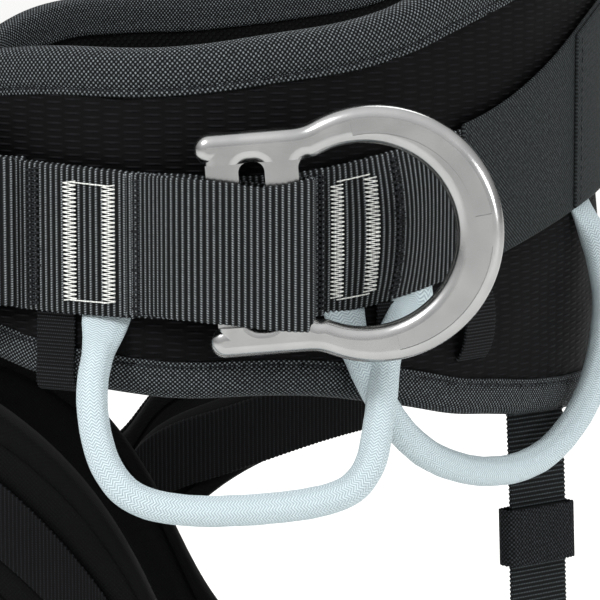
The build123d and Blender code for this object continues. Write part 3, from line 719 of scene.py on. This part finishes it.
# %% Edge tape
def edge_tape(name, oval, route, hem, thick, material, step=0.9 * MM):
    """A tape round the flat route [s, z]; hem is how deep it reaches, one value for each point."""
    loop = np.concatenate([route, route[:1]])
    far = distances(loop)
    even = np.linspace(0, far[-1], int(far[-1] / step), endpoint=False)
    line = np.stack([np.interp(even, far, loop[:, axis]) for axis in (0, 1)], -1)
    deep = np.interp(even, far, np.append(hem, hem[0]))
    window = np.hanning(int(14 * MM / step))
    window /= window.sum()
    wrap = len(window)
    for values in (line[:, 0], line[:, 1], deep):
        wrapped = np.concatenate([values[-wrap:], values, values[:wrap]])
        values[:] = np.convolve(wrapped, window, "same")[wrap:-wrap]
    ahead = np.roll(line, -1, 0) - np.roll(line, 1, 0)
    ahead /= np.linalg.norm(ahead, axis=1)[:, None]
    inward = np.stack([ahead[:, 1], -ahead[:, 0]], -1)
    back = -thick / MM
    section = np.array([
        (1.00, -0.9), (1.00, 0.75), (0.95, 0.95), (0.88, 0.75), (0.84, 0.25), (0.80, 0.8), (0.68, 1.15),
        (0.50, 1.35), (0.32, 1.3), (0.17, 0.7), (0.06, -0.9), (0.0, 0.35 * back), (0.0, 0.62 * back),
        (0.06, back + 0.2), (0.17, back - 0.8), (0.4, back - 1.2), (0.65, back - 1.1),
        (0.84, back - 0.6), (0.95, back - 1.0), (1.0, back + 0.5),
    ])
    inset = deep[:, None] * section[:, 0]
    off = np.broadcast_to(section[:, 1] * MM, inset.shape)
    pull = np.exp(-((section[:, 0] - 0.84) / 0.14) ** 2)
    crimp = ruffle(even[:, None] + 0 * inset, inset, 3.2 * MM)
    crimp = crimp + 0.4 * np.sin(2 * np.pi * even[:, None] / (3.6 * MM))
    lumps = ruffle(even[:, None] + 0 * inset, 0.2 * inset, 22 * MM, 5.0)
    face_side = np.where(section[:, 1] > -0.5 * thick / MM, 1, -1)
    off = off + face_side * (0.55 * crimp * pull + 0.5 * lumps) * MM
    inset = inset + 0.8 * MM * ruffle(even[:, None] + 0 * inset, 0 * inset, 30 * MM, 7.0)
    flat = line[:, None] + inward[:, None] * inset[..., None]
    points = oval.at(flat[..., 0], off)[0] + UP * flat[..., 1][..., None]
    girth = np.concatenate([[0], np.cumsum(np.hypot(np.diff(inset[0]), np.diff(section[:, 1] * MM)))])
    girth = np.append(girth, girth[-1] + thick)
    cloth = np.stack(np.broadcast_arrays(np.append(even, far[-1])[:, None], girth), -1)
    return grid_mesh(name, points, cloth, material, joined=True)


stations = np.linspace(-BELT_END - 2 * MM, BELT_END + 2 * MM, 300)
heights = waist.at(stations)[0][:, 1]
route = np.concatenate([
    np.stack([stations, belt_top(heights)], -1),
    np.stack([stations, belt_bottom(heights)], -1)[::-1],
])
hem = np.concatenate([np.full(300, TOP_HEM), np.full(300, LOWER_HEM)])
belt_tape = edge_tape("belt_edge_tape", waist, route, hem, PAD_THICK, binding_tape)
place(belt_tape, "belt", "binding_tape", "belt_top_binding", "belt_lower_binding")

# %% [markdown]
# ## Waist webbing and back band
# The waist webbing runs round the whole back of the belt and carries the load. Behind each
# side ring it stands a little off the padding, and its ribs bow. The wide band over the small
# of the back spreads the load, and a second, shorter layer is sewn over the middle of it.

# %% Waist webbing and back band
# how far out from the padding the middle of each layer lies
WEBBING_LAYER, BAND_LAYER, LAP_LAYER, FRONT_LAYER = 1.3 * MM, 3.5 * MM, 4.8 * MM, 3.6 * MM
# where each layer ends, from front to back
WEBBING_END_Y, BAND_END_Y, LAP_END_Y = -56 * MM, 80.3 * MM, 118.5 * MM
front_end = waist.along(WEBBING_END_Y)
middle, half_width, normals = belt_line(-front_end, front_end, WEBBING_LAYER, webbing_low, webbing_high)
waist_strap = strap("waist_webbing_strap", middle, UP, half_width, main_webbing)


def bow_height(s, z):
    """How far the waist webbing stands off the padding at s and z."""
    y = waist.at(np.abs(s))[0][..., 1]
    across = (z - (webbing_low(y) + webbing_high(y)) / 2) / (22.5 * MM)
    near = np.exp(-((np.abs(s) - waist.along(58 * MM)) / (16 * MM)) ** 2)
    return 4.5 * MM * near * np.clip(1 - across**2, 0, 1)


points = np.array([vertex.co for vertex in waist_strap.data.vertices])
section = len(points) // len(middle)
s_of = np.repeat(np.linspace(-front_end, front_end, len(middle)), section)
points += np.repeat(normals, section, 0) * bow_height(s_of, points[:, 2])[:, None]
waist_strap.data.vertices.foreach_set("co", points.ravel())
place(waist_strap, "belt", "main_webbing", "waist_webbing")

band_low, band_high = side_edges("back_band")
band_end = waist.along(BAND_END_Y)
middle, half_width, _ = belt_line(-band_end, band_end, BAND_LAYER, band_low, band_high, 1.2 * MM)
back_band = strap("back_band_strap", middle, UP, half_width, band_webbing, rib=None, thick=1.5 * MM)
place(back_band, "belt", "band_webbing", "back_band")
lap_start = waist.along(LAP_END_Y)
middle, half_width, _ = belt_line(-lap_start, lap_start, LAP_LAYER, band_low, band_high, 1.2 * MM)
lap_half = half_width - 0.8 * MM
band_lap = strap("back_band_lap", middle, UP, lap_half, band_webbing, rib=None, thick=1.2 * MM)
place(band_lap, "belt", "band_webbing")

# %% [markdown]
# ## Straps at the waist buckles
# On each side a strap is folded round the rear bar of the buckle and sewn down on the waist
# webbing. The front strap crosses the belly, passes through both buckles, folds back over
# their sliding bars and lies on itself, held by an elastic keeper. All of them are flat
# straps along a smooth line, seen from above.

# %% Buckle straps
slide_joint = next(joint for joint in frame["joints"] if joint["name"] == "buckle_slide_left")
buckle_back = -np.array(slide_joint["axis"])
buckle_out = np.cross(buckle_back, UP)
buckle_low, buckle_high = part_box("buckle_frame_left")
buckle_middle = np.array((buckle_low + buckle_high) / 2)
STRAP_LOW, STRAP_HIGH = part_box("front_strap")[0].z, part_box("front_strap")[1].z
strap_half = (STRAP_HIGH - STRAP_LOW) / 2
strap_z = (STRAP_HIGH + STRAP_LOW) / 2


def by_buckle(back, out):
    """A point that many millimetres behind and outside the middle of the left buckle."""
    return (buckle_middle + (buckle_back * back + buckle_out * out) * MM) * (1, 1, 0) + UP * strap_z


laid = np.linspace(waist.along(-20 * MM), waist.along(WEBBING_END_Y), 12)
laid_points = waist.at(laid, FRONT_LAYER)[0]
laid_y = waist.at(laid)[0][:, 1]
laid_points[:, 2] = (webbing_low(laid_y) + webbing_high(laid_y)) / 2
laid_half = (webbing_high(laid_y) - webbing_low(laid_y)) / 2
fold_route = [(24, -1.5), (19, 2.6), (12.5, 3.4), (11.2, 0), (12.5, -3.4), (20, -5.2), (26, -7.5)]
folded = [by_buckle(*point) for point in fold_route]
# once over the sliding bar and back along the front strap, under the keeper
tail_route = [(-17, -5.6), (5, -5.0), (6.4, 1.0), (5, 7.4), (-14, 7.6), (-46, -6.0), (-70, -14.5)]

KEEPER_ROUTE = [
    (-3.8, 0), (-3.8, 20), (-2.6, 23.4), (2.6, 23.4), (3.8, 20), (3.8, 0),
    (3.8, -20), (2.6, -23.4), (-2.6, -23.4), (-3.8, -20), (-3.8, 0),
]
for side, sign in SIDES:
    mirror = np.array((sign, 1, 1))
    path = smooth_line(np.concatenate([laid_points, folded]), RIB_STEP)
    half_width = np.interp(path[:, 1], laid_y[::-1], laid_half[::-1])
    folded_strap = strap(f"buckle_strap_{side}", path * mirror, UP, half_width, main_webbing)
    place(folded_strap, "belt", "main_webbing", f"buckle_webbing_{side}")
    path = smooth_line([by_buckle(*point) for point in tail_route], RIB_STEP)
    tail = strap(f"front_strap_tail_{side}", path * mirror, UP, strap_half, main_webbing)
    place(tail, "belt", "main_webbing", f"strap_tail_{side}")
    s = np.array([waist.along(-118 * MM)])
    middle, outward = waist.at(s, 5.4 * MM)
    points = [middle[0] + UP * strap_z + outward[0] * a * MM + UP * b * MM for a, b in KEEPER_ROUTE]
    path = smooth_line(points, 0.8 * MM)[:-1]
    ahead = np.cross(UP, outward[0])
    keeper = strap(
        f"tail_keeper_band_{side}", path * mirror, ahead * mirror, 6 * MM, knitted_elastic,
        rib=1.4, thick=1.0 * MM, joined=True,
    )
    place(keeper, "belt", "elastic", f"tail_keeper_{side}")

front_start = waist.along(-94.5 * MM)
level = [lambda y, z=z: 0 * y + z for z in (STRAP_LOW, STRAP_HIGH)]
middle, half_width, _ = belt_line(front_start, waist.length - front_start, FRONT_LAYER, *level)
front_strap = strap("front_strap_webbing", middle, UP, half_width, main_webbing)
place(front_strap, "belt", "main_webbing", "front_strap")

# %% [markdown]
# ## The tab of each side ring
# A piece of webbing goes round the posts of the ring and is sewn to the belt in front of it, so the ring
# can swing out.

# %% Ring tabs
tab_low, tab_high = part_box("ring_tab_left")
tab_out = tab_high.x - 1.0 * MM
tab_in = ring_middle.x - (tab_out - ring_middle.x)
seam_x = waist.at(np.array(waist.along(-20 * MM)), FRONT_LAYER)[0][0]
fold_y = tab_high.y - 3 * MM
tab_route = [
    (seam_x - 0.6 * MM, -25 * MM), (seam_x, -20 * MM), (seam_x + 3.5 * MM, -15.5 * MM),
    (tab_out - 3 * MM, -9 * MM), (tab_out, 0), (tab_out, 10 * MM),
    (tab_out, fold_y - 12 * MM), (tab_out - 0.4 * MM, fold_y - 1 * MM),
    (ring_middle.x, fold_y + 0.5 * MM),
    (tab_in + 0.4 * MM, fold_y - 1 * MM), (tab_in, fold_y - 12 * MM),
    (tab_in, 2 * MM), (tab_in - 0.5 * MM, -10 * MM), (seam_x - 0.2 * MM, -20 * MM),
]
# the load draws the tab's edges down: how far, in millimetres, at each place along it
TAB_Y = np.array((-24, -14, -4, 8, 18, 26, 33)) * MM
TAB_TOP = (0.2, 0.4, 0.2, -1.2, -2.6, -2.0, 0.0)
TAB_BOTTOM = (0.0, 0.3, 0.2, -1.0, -2.2, -3.0, -3.4)
for side, sign in SIDES:
    path = smooth_line([(x, y, 0) for x, y in tab_route], RIB_STEP)
    tops = np.interp(path[:, 1], TAB_Y, TAB_TOP) * MM + tab_high.z
    bottoms = np.interp(path[:, 1], TAB_Y, TAB_BOTTOM) * MM + tab_low.z
    path[:, 2] = (tops + bottoms) / 2
    half_width = (tops - bottoms) / 2
    tab = strap(f"ring_tab_webbing_{side}", path * (sign, 1, 1), UP, half_width, main_webbing)
    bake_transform(tab)
    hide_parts(f"ring_tab_{side}")

# %% [markdown]
# ## Short tapes
# Narrow tapes hold the lower edge of the belt: the front one wraps right round it, the middle
# one lies flat between the ends of the two gear loops, and the rear one is a small standing
# loop. Each is a strap that runs down the belt, so its width lies along the belt.

# %% Short tapes
def upright_tape(name, y, route, half_width, material, rib):
    """A tape at y on the belt whose route is (offset, height) in millimetres."""
    for side, sign in SIDES:
        s = np.array([sign * waist.along(y * MM)])
        foot, outward = waist.at(s)
        points = [foot[0] + outward[0] * off * MM + UP * height * MM for off, height in route]
        path = smooth_line(points, rib * MM / 6)
        along_belt = np.cross(UP, outward[0])
        tape = strap(f"{name}_{side}", path, along_belt, half_width * MM, material, rib, 1.2 * MM)
        place(tape, "belt", "narrow_tape", f"{name.replace('_strip', '')}_{side}")


lowest = belt_bottom(-45 * MM) / MM
upright_tape("front_tape_strip", -45.7, [
    (1.3, 27), (1.5, 16), (2.2, 8), (2.6, lowest + 5), (2.0, lowest - 1.2),
    (-1.5, lowest - 2.6), (-6, lowest - 2.6), (-10.5, lowest - 1.2), (-11.2, lowest + 5), (-11.0, 15),
], 6.7, black_tape, 1.1)
upright_tape("middle_tape_strip", 57, [(1.6, 28), (1.9, 22), (1.7, 16), (1.0, 11)], 3.6, black_tape, 1.1)
upright_tape("rear_tape_strip", 85, [
    (1.2, 34), (2.6, 31), (5.2, 25), (5.6, 17), (3.8, 9), (1.2, 6),
], 6.8, black_tape, 1.1)

# %% [markdown]
# ## Attachment at the front
# The ventral webbing is a doubled strap that hangs from the front strap, holds the ventral
# ring in a small loop of its own, and ends round the bridge that joins the two leg loops. It
# is drawn from the side, with its width along X.

# %% Ventral webbing
SIDEWAYS = np.array((1.0, 0.0, 0.0))
ventral_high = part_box("ventral_webbing")[1]
bridge_low, bridge_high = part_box("leg_bridge")
bridge_y, bridge_z = (bridge_low.y + bridge_high.y) / 2, (bridge_low.z + bridge_high.z) / 2
pivot = next(joint for joint in frame["joints"] if joint["name"] == "ventral_ring_swing")["pos_m"]
front_y = pivot[1] + 7.2 * MM


def side_line(points, step=RIB_STEP):
    """A smooth line in the middle plane from (y, z) points."""
    return smooth_line([(0, y, z) for y, z in points], step)


top_z = ventral_high.z - 1 * MM
bight_y = front_y + 10.8 * MM
inner_y = front_y + 2.2 * MM
route = [
    (front_y, 6 * MM), (front_y + 4 * MM, 13 * MM), (bight_y, 22 * MM), (bight_y, 40 * MM),
    (bight_y, top_z - 6 * MM), (front_y + 10.4 * MM, top_z), (front_y + 5.4 * MM, top_z + 1.6 * MM),
    (front_y + 0.4 * MM, top_z), (front_y, top_z - 6 * MM), (front_y, 30 * MM), (front_y, 0),
    (front_y, bridge_z + 12 * MM), (bridge_y - 6.6 * MM, bridge_z),
    (bridge_y - 5.4 * MM, bridge_z - 6 * MM), (bridge_y, bridge_z - 7.4 * MM),
    (bridge_y + 6.4 * MM, bridge_z - 5 * MM), (bridge_y + 6.4 * MM, bridge_z + 4 * MM),
    (bridge_y + 1 * MM, bridge_z + 12 * MM), (inner_y, bridge_z + 22 * MM), (inner_y, 0),
]
ventral = strap("ventral_webbing_strap", side_line(route), SIDEWAYS, 22 * MM, main_webbing)
place(ventral, "belt", "main_webbing", "ventral_webbing")
turns = np.linspace(0, 2 * np.pi, 160, endpoint=False)
RING_LOOP_R = 6.9 * MM
circle_y, circle_z = pivot[1] + RING_LOOP_R * np.cos(turns), pivot[2] + RING_LOOP_R * np.sin(turns)
circle = np.stack([0 * turns, circle_y, circle_z], -1)
ring_loop = strap("ventral_ring_loop", circle, SIDEWAYS, 17 * MM, black_tape, 1.1, 1.6 * MM, joined=True)
place(ring_loop, "belt", "main_webbing")

across_bridge = np.linspace(bridge_low.x, bridge_high.x, 90)
path = np.stack([across_bridge, np.full(90, bridge_y), np.full(90, bridge_z)], -1)
near_end = np.clip(1 - (44 * MM - np.abs(across_bridge)) / (3 * MM), 0, 1)
roll_radius = 5 * MM * np.sqrt(np.clip(1 - near_end**2, 0.02, 1))
bridge = cord_tube("leg_bridge_roll", path, UP, roll_radius, roll_radius, leg_webbing)
place(bridge, "belt", "leg_webbing", "leg_bridge")

# %% [markdown]
# ## Leg loops
# Each leg loop is a padded ring of foam in plain black fabric, taped along both edges, with a
# webbing sewn round the middle and a narrower strap forward to the bridge. The padding swells
# between the webbing and the tapes.

# %% Leg loops
def leg_loop(side, side_radius):
    """Padding, two edge tapes, webbing and front strap of one leg loop."""
    low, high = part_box(f"leg_pad_{side}")
    oval = Oval(low, high, side_radius)
    bottom, top = side_edges(f"leg_pad_{side}")
    thick = 9.9 * MM
    s = np.linspace(-oval.length / 2, oval.length / 2, 300, endpoint=False)[:, None]
    y = oval.at(s[:, 0])[0][:, 1][:, None]
    share = np.linspace(0, 1, 26)
    z = bottom(y) + 3 * MM + (top(y) - bottom(y) - 6 * MM) * share
    middle_z = (bottom(y) + top(y)) / 2
    rolls = swell_between(z, middle_z + 13 * MM, top(y) - 8 * MM)
    rolls = rolls + swell_between(z, bottom(y) + 8 * MM, middle_z - 13 * MM)
    folds = ruffle(s + 0 * z, 0.35 * z, 18 * MM, 11.0 * side_radius)
    outer = (-0.6 + 1.7 * rolls + 1.0 * folds * rolls) * MM
    inner_z = z[:, ::-1]
    past_hem = np.minimum(top(y) - inner_z, inner_z - bottom(y)) - 8 * MM
    free = np.clip(past_hem / (8 * MM), 0, 1)
    channel = np.abs(np.sin(np.pi * 3 * share)) ** 0.5
    inner = -thick + (0.9 - free * (0.5 + 1.6 * channel - 0.9 * folds[:, ::-1])) * MM
    points = np.concatenate([
        oval.at(s + 0 * z, outer)[0] + UP * z[..., None],
        oval.at(s + 0 * z, inner)[0] + UP * inner_z[..., None],
    ], 1)
    girth = np.concatenate([z, inner_z, z[:, :1]], 1)
    girth = np.concatenate([girth, girth[:1]])
    around = np.append(s[:, 0], oval.length / 2)[:, None]
    cloth = np.stack(np.broadcast_arrays(around, girth), -1)
    pad = grid_mesh(f"leg_padding_{side}", points, cloth, leg_fabric, joined=True)
    place(pad, f"leg_{side}", "leg_fabric", f"leg_pad_{side}", f"leg_lining_{side}")
    for edge, level, turn in (("top", top, 1), ("lower", bottom, -1)):
        leg_edge(f"leg_{edge}_tape_{side}", oval, level, turn, thick, side)
    web_low, web_high = side_edges(f"leg_webbing_{side}")
    s = np.linspace(-oval.length / 2, oval.length / 2, int(oval.length / (0.3 * MM)), endpoint=False)
    middle = oval.at(s, 1.2 * MM)[0]
    y = oval.at(s)[0][:, 1]
    middle[:, 2] = (web_low(y) + web_high(y)) / 2
    half_width = (web_high(y) - web_low(y)) / 2
    webbing = strap(f"leg_webbing_strap_{side}", middle, UP, half_width, leg_webbing, 1.7, joined=True)
    place(webbing, f"leg_{side}", "leg_webbing", f"leg_webbing_{side}")
    front_strap_to_bridge(side, oval)


def leg_edge(name, oval, level, turn, thick, side):
    """A folded tape over one edge of a leg loop; turn is 1 for an upper edge and -1 for a lower one."""
    s = np.linspace(-oval.length / 2, oval.length / 2, 520, endpoint=False)[:, None]
    z = level(oval.at(s[:, 0])[0][:, 1][:, None])
    back = -thick / MM
    section = np.array([
        (9, -0.6), (9, 0.9), (7.5, 0.6), (5, 1.1), (2, 0.9), (0.4, -1.2), (0, 0.5 * back),
        (0.4, back + 1.2), (2, back - 0.9), (5, back - 1.1), (7.5, back - 0.6), (9, back - 0.9),
        (9, back + 0.6),
    ]) * MM
    pull = np.exp(-((section[:, 0] / MM - 7.5) / 1.8) ** 2)
    crimp = ruffle(s + 0 * section[:, 0], section[:, 0] + 0 * s, 4 * MM, turn * 2.0)
    off = section[:, 1] + 0.5 * MM * crimp * pull * np.sign(section[:, 1] - 0.5 * back * MM)
    points = oval.at(s + 0 * off, off)[0] + UP * (z - turn * section[:, 0])[..., None]
    girth = np.append(np.cumsum(np.hypot(*np.diff(section, axis=0, prepend=section[:1]).T)), 45 * MM)
    cloth = np.stack(np.broadcast_arrays(np.append(s[:, 0], oval.length / 2)[:, None], girth), -1)
    tape = grid_mesh(name, points, cloth, leg_fabric, joined=True)
    place(tape, f"leg_{side}", "leg_fabric")


def front_strap_to_bridge(side, oval):
    """The strap that goes round the bridge and back to its leg loop."""
    low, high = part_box(f"leg_strap_{side}")
    sign = 1 if side == "left" else -1
    far_z = high.z - 2 * MM if side == "left" else low.z + 2 * MM
    x = (low.x + high.x) / 2
    turns = np.linspace(radians(-150), radians(120), 7) * sign
    route = [(bridge_y - 6.7 * MM * np.cos(a), bridge_z + 6.7 * MM * np.sin(a)) for a in turns]
    end = (high.y + 3 * MM, far_z)
    path = smooth_line([(x, *point) for point in route + [end]], 0.3 * MM)
    front = strap(f"leg_front_strap_{side}", path, SIDEWAYS, 9.5 * MM, leg_webbing, 1.7)
    place(front, f"leg_{side}", "leg_webbing", f"leg_strap_{side}")


leg_loop("left", 160 * MM)
leg_loop("right", 130 * MM)

# %% [markdown]
# ## Risers
# Behind, an elastic strap runs from the belt down to each leg loop. A knitted keeper gathers it, and below
# the keeper it parts into two. The leg loops swing, and the risers curve a little between the belt and the
# leg loop.

# %% Risers
BAND_ROUTE = [
    (-15, 0), (-15, 2.4), (-12.5, 3.6), (0, 3.8), (12.5, 3.6), (15, 2.4), (15, 0),
    (15, -2.4), (12.5, -3.6), (0, -3.8), (-12.5, -3.6), (-15, -2.4), (-15, 0),
]


def riser(side, head, foot, across, part, spread):
    """A riser from head to foot, a keeper at part of its length, and a second strap below it."""
    head, foot, across = (np.array(value) for value in (head, foot, across))
    run = foot - head
    step = 1.5 * MM / 6
    behind = np.cross(run, across) / np.linalg.norm(run)
    keeper_at = head + run * part
    along = run / np.linalg.norm(run)
    drift = across * spread + behind * -3.2 * MM
    first_route = [
        head - run * 0.06, head + run * 0.3 + behind * 0.8 * MM,
        keeper_at, head + run * 0.75, foot,
    ]
    second_route = [
        keeper_at, keeper_at + run * 0.1 - behind * 2 * MM,
        keeper_at + run * 0.25 + drift * 0.6, foot + drift,
    ]
    band_route = [keeper_at + (across * a + behind * b) * MM for a, b in BAND_ROUTE]
    first, second = smooth_line(first_route, step), smooth_line(second_route, step)
    band = smooth_line(band_route, 0.35 * MM)[:-1]
    pieces = (
        strap(f"riser_strap_{side}", first, across, 12.5 * MM, riser_webbing, 1.5, 1.8 * MM),
        strap(f"riser_second_strap_{side}", second, across, 11 * MM, riser_webbing, 1.5, 1.6 * MM),
        strap(
            f"riser_keeper_band_{side}", band, along, 9.5 * MM, knitted_elastic,
            rib=1.6, thick=1.0 * MM, joined=True,
        ),
    )
    nodes = ((f"riser_{side}",), (), (f"riser_keeper_{side}",))
    for piece, replaced, slot in zip(pieces, nodes, ("riser_webbing", "riser_webbing", "elastic")):
        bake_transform(piece)
        if replaced:
            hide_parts(*replaced)


riser_low, riser_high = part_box("riser_left")
riser_s = np.array(waist.along(114 * MM))
head_at, head_out = waist.at(riser_s, -5 * MM)
head = head_at + UP * riser_high.z
foot = np.array((82 * MM, 113 * MM, riser_low.z))
across = np.cross(UP, head_out)
TWIST = radians(-22)
twisted_x = across[0] * cos(TWIST) - across[1] * sin(TWIST)
across = np.array((twisted_x, across[0] * sin(TWIST) + across[1] * cos(TWIST), 0))
riser("left", head, foot, across, 0.38, 7 * MM)
right_low, right_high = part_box("riser_right")
head = head_at * (-1, 1, 0) + UP * (right_high.z - 0.5 * MM)
foot = np.array((-86 * MM, 69 * MM, right_low.z + 0.5 * MM))
riser("right", head, foot, SIDEWAYS, 0.6, -3 * MM)

# %% [markdown]
# ## Stitching
# The load-bearing seams are bar tacks: a dense zigzag of thick thread across the webbing,
# white where an inspector has to see it and black elsewhere. Each stroke of the zigzag is a
# short curve of its own, arched a little, because one long bevelled curve pinches flat where
# it turns back so sharply. A single thread joins each white pair at its ends.

# %% Stitching
def threads(name, lines, radius, material, body):
    """One object of many thin threads, each a line of points."""
    curve = bpy.data.curves.new(name, "CURVE")
    curve.dimensions = "3D"
    curve.bevel_depth = radius
    curve.bevel_resolution = 1
    for line in lines:
        spline = curve.splines.new("POLY")
        spline.points.add(len(line) - 1)
        for target, point in zip(spline.points, line):
            target.co = (*point, 1)
    curve.materials.append(material)
    holder = bpy.data.objects.new("thread_route", curve)
    mesh = bpy.data.meshes.new_from_object(holder)
    bpy.data.objects.remove(holder)
    mesh.name = name
    corners = np.array([mesh.vertices[loop.vertex_index].co for loop in mesh.loops], np.float32)
    mesh.attributes.new("cloth", "FLOAT_VECTOR", "CORNER").data.foreach_set("vector", corners.ravel())
    mesh.shade_smooth()
    piece = bpy.data.objects.new(name, mesh)
    bpy.context.scene.collection.objects.link(piece)
    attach(piece, body)
    return piece


def on_belt(y, z, off, sign):
    """A point on the belt at y and z, that many millimetres out from the padding."""
    point = waist.at(np.array(sign * waist.along(y * MM)), off * MM)[0]
    return point + UP * z * MM


def lift(y, z):
    """How far the webbing that is sewn through at y and z bows outward, in millimetres."""
    return bow_height(waist.along(y * MM), z * MM) / MM if y > 30 else 0


def bar_tack(y, width, low, high, off, sign, pitch=1.3, jitter=0.25, seed=0.0):
    """The strokes of a zigzag across a strap at y, from low to high, each one arched a little."""
    count = int((high - low) / pitch * 2)
    turns = []
    for k in range(count + 1):
        shake = jitter * noise.noise((k * 0.83, y, seed))
        turns.append((y + (0.5 if k % 2 else -0.5) * width + shake, low + (high - low) * k / count))
    strokes = []
    for (y0, z0), (y1, z1) in zip(turns, turns[1:]):
        stroke = []
        for part, rise in ((0, 0), (0.25, 0.3), (0.75, 0.3), (1, 0)):
            y_at, z_at = y0 + (y1 - y0) * part, z0 + (z1 - z0) * part
            stroke.append(on_belt(y_at, z_at, off + rise + lift(y_at, z_at), sign))
        strokes.append(stroke)
    return strokes


# in millimetres: the faces that are sewn through, and where the white and black tacks are
FRONT_STRAP_FACE, WAIST_STRAP_FACE = 4.75, 2.45
FRONT_TACKS, REAR_TACKS = (-39.7, -27.9), (40.9, 50.7)
BLACK_TACKS = ((-51.0, 3.4), (-18.4, 3.8), (36.2, 2.2), (58.4, 2.4))
for side, sign in SIDES:
    white, black = [], []
    for y in FRONT_TACKS:
        low, high = webbing_low(y * MM) / MM + 4.2, webbing_high(y * MM) / MM - 4.4
        white += bar_tack(y, 3.9, low, high, FRONT_STRAP_FACE, sign)
    for y in REAR_TACKS:
        low, high = webbing_low(y * MM) / MM + 5.0, webbing_high(y * MM) / MM - 5.6
        white += bar_tack(y, 3.7, low, high, WAIST_STRAP_FACE, sign)
    for first, last, face in ((*FRONT_TACKS, FRONT_STRAP_FACE), (*REAR_TACKS, WAIST_STRAP_FACE)):
        for edge in (0, 1):
            line = []
            for k in range(9):
                y = first + (last - first) * k / 8
                level = webbing_high(y * MM) / MM - 4.7 if edge else webbing_low(y * MM) / MM + 4.4
                line.append(on_belt(y, level, face + lift(y, level) + 0.05 + 0.3 * (k % 2), sign))
            white.append(line)
    for y, width in BLACK_TACKS:
        face = FRONT_STRAP_FACE if y < 0 else WAIST_STRAP_FACE
        low, high = webbing_low(y * MM) / MM + 1.5, webbing_high(y * MM) / MM - 1.5
        for layer in (0, 1):
            black += bar_tack(y, width, low, high, face, sign, 1.7, 0.9, 5.0 + layer)
    threads(f"white_bar_tacks_{side}", white, 0.22 * MM, white_thread, "belt")
    threads(f"black_bar_tacks_{side}", black, 0.27 * MM, black_thread, "belt")

# %% [markdown]
# The edge tape is held by a straight lock stitch along each hem, and both layers of
# the back band by another. A lock stitch shows as short dashes with gaps between them where
# the thread dives into the cloth.

# %% Lock stitches
def lock_stitches(line, stitch=2.6 * MM, gap=0.7 * MM, dive=0.25 * MM):
    """Short arched dashes along a line of (point, outward normal) rows."""
    points, normals = line
    far = distances(points)
    dashes = []
    for start in np.arange(0, far[-1] - stitch, stitch + gap):
        spots = start + stitch * np.linspace(0, 1, 4)
        dash = np.stack([np.interp(spots, far, points[:, axis]) for axis in range(3)], -1)
        out = np.stack([np.interp(spots, far, normals[:, axis]) for axis in range(3)], -1)
        dashes.append(dash + out * np.array((-dive, 0.06 * MM, 0.06 * MM, -dive))[:, None])
    return dashes


def hem_line(level, inset, off):
    """The stitch line of a hem round the belt, inset from the edge curve."""
    s = np.linspace(-BELT_END + 14 * MM, BELT_END - 14 * MM, 500)
    points, normals = waist.at(s, off)
    points[:, 2] = level(waist.at(s)[0][:, 1]) + inset
    return points, normals


hems = lock_stitches(hem_line(belt_top, -TOP_HEM * 0.86, 0.75 * MM))
hems += lock_stitches(hem_line(belt_bottom, LOWER_HEM * 0.86, 0.75 * MM))
threads("hem_stitching", hems, 0.22 * MM, black_thread, "belt")
seams = []
for sign in (1, -1):
    for y, off in ((LAP_END_Y + 1.7 * MM, 5.45 * MM), (BAND_END_Y + 1.5 * MM, 4.3 * MM)):
        level = np.linspace(band_low(y) + 2 * MM, band_high(y) - 2 * MM, 60)
        s = np.full(60, sign * waist.along(y))
        points, normals = waist.at(s, off)
        points[:, 2] = level
        seams += lock_stitches((points, normals))
threads("back_band_stitching", seams, 0.22 * MM, black_thread, "belt")

# %% [markdown]
# ## Floor
# A pale painted floor under the lowest point catches a soft shadow. It is wide enough to run
# out of sight, and it isn't part of the harness.

# %% Floor
floor_material, tree, shader = start_material("studio_floor_painted_matt", Roughness=0.9)
place_on_floor = add(tree, "TexCoord").outputs["Object"]
cloud = add(tree, "TexNoise", {"Vector": place_on_floor, "Scale": 3.0}).outputs["Fac"]
base = add(tree, "Mix", {0: cloud, 6: colour("F1F1EF"), 7: colour("F7F7F6")}, data_type="RGBA").outputs[2]
tree.links.new(base, shader.inputs["Base Color"])
floor_level = CAD_BOX[0][2] - 3 * MM
floor_mesh = bpy.data.meshes.new("studio_floor")
reach = 14.0
floor_corners = [(x * reach, y * reach, floor_level) for x, y in ((-1, -1), (1, -1), (1, 1), (-1, 1))]
floor_mesh.from_pydata(floor_corners, [], [(0, 1, 2, 3)])
floor_mesh.materials.append(floor_material)
floor = bpy.data.objects.new("studio_floor", floor_mesh)
bpy.context.scene.collection.objects.link(floor)

# %% [markdown] The visual model has to fill the same box as the CAD model.
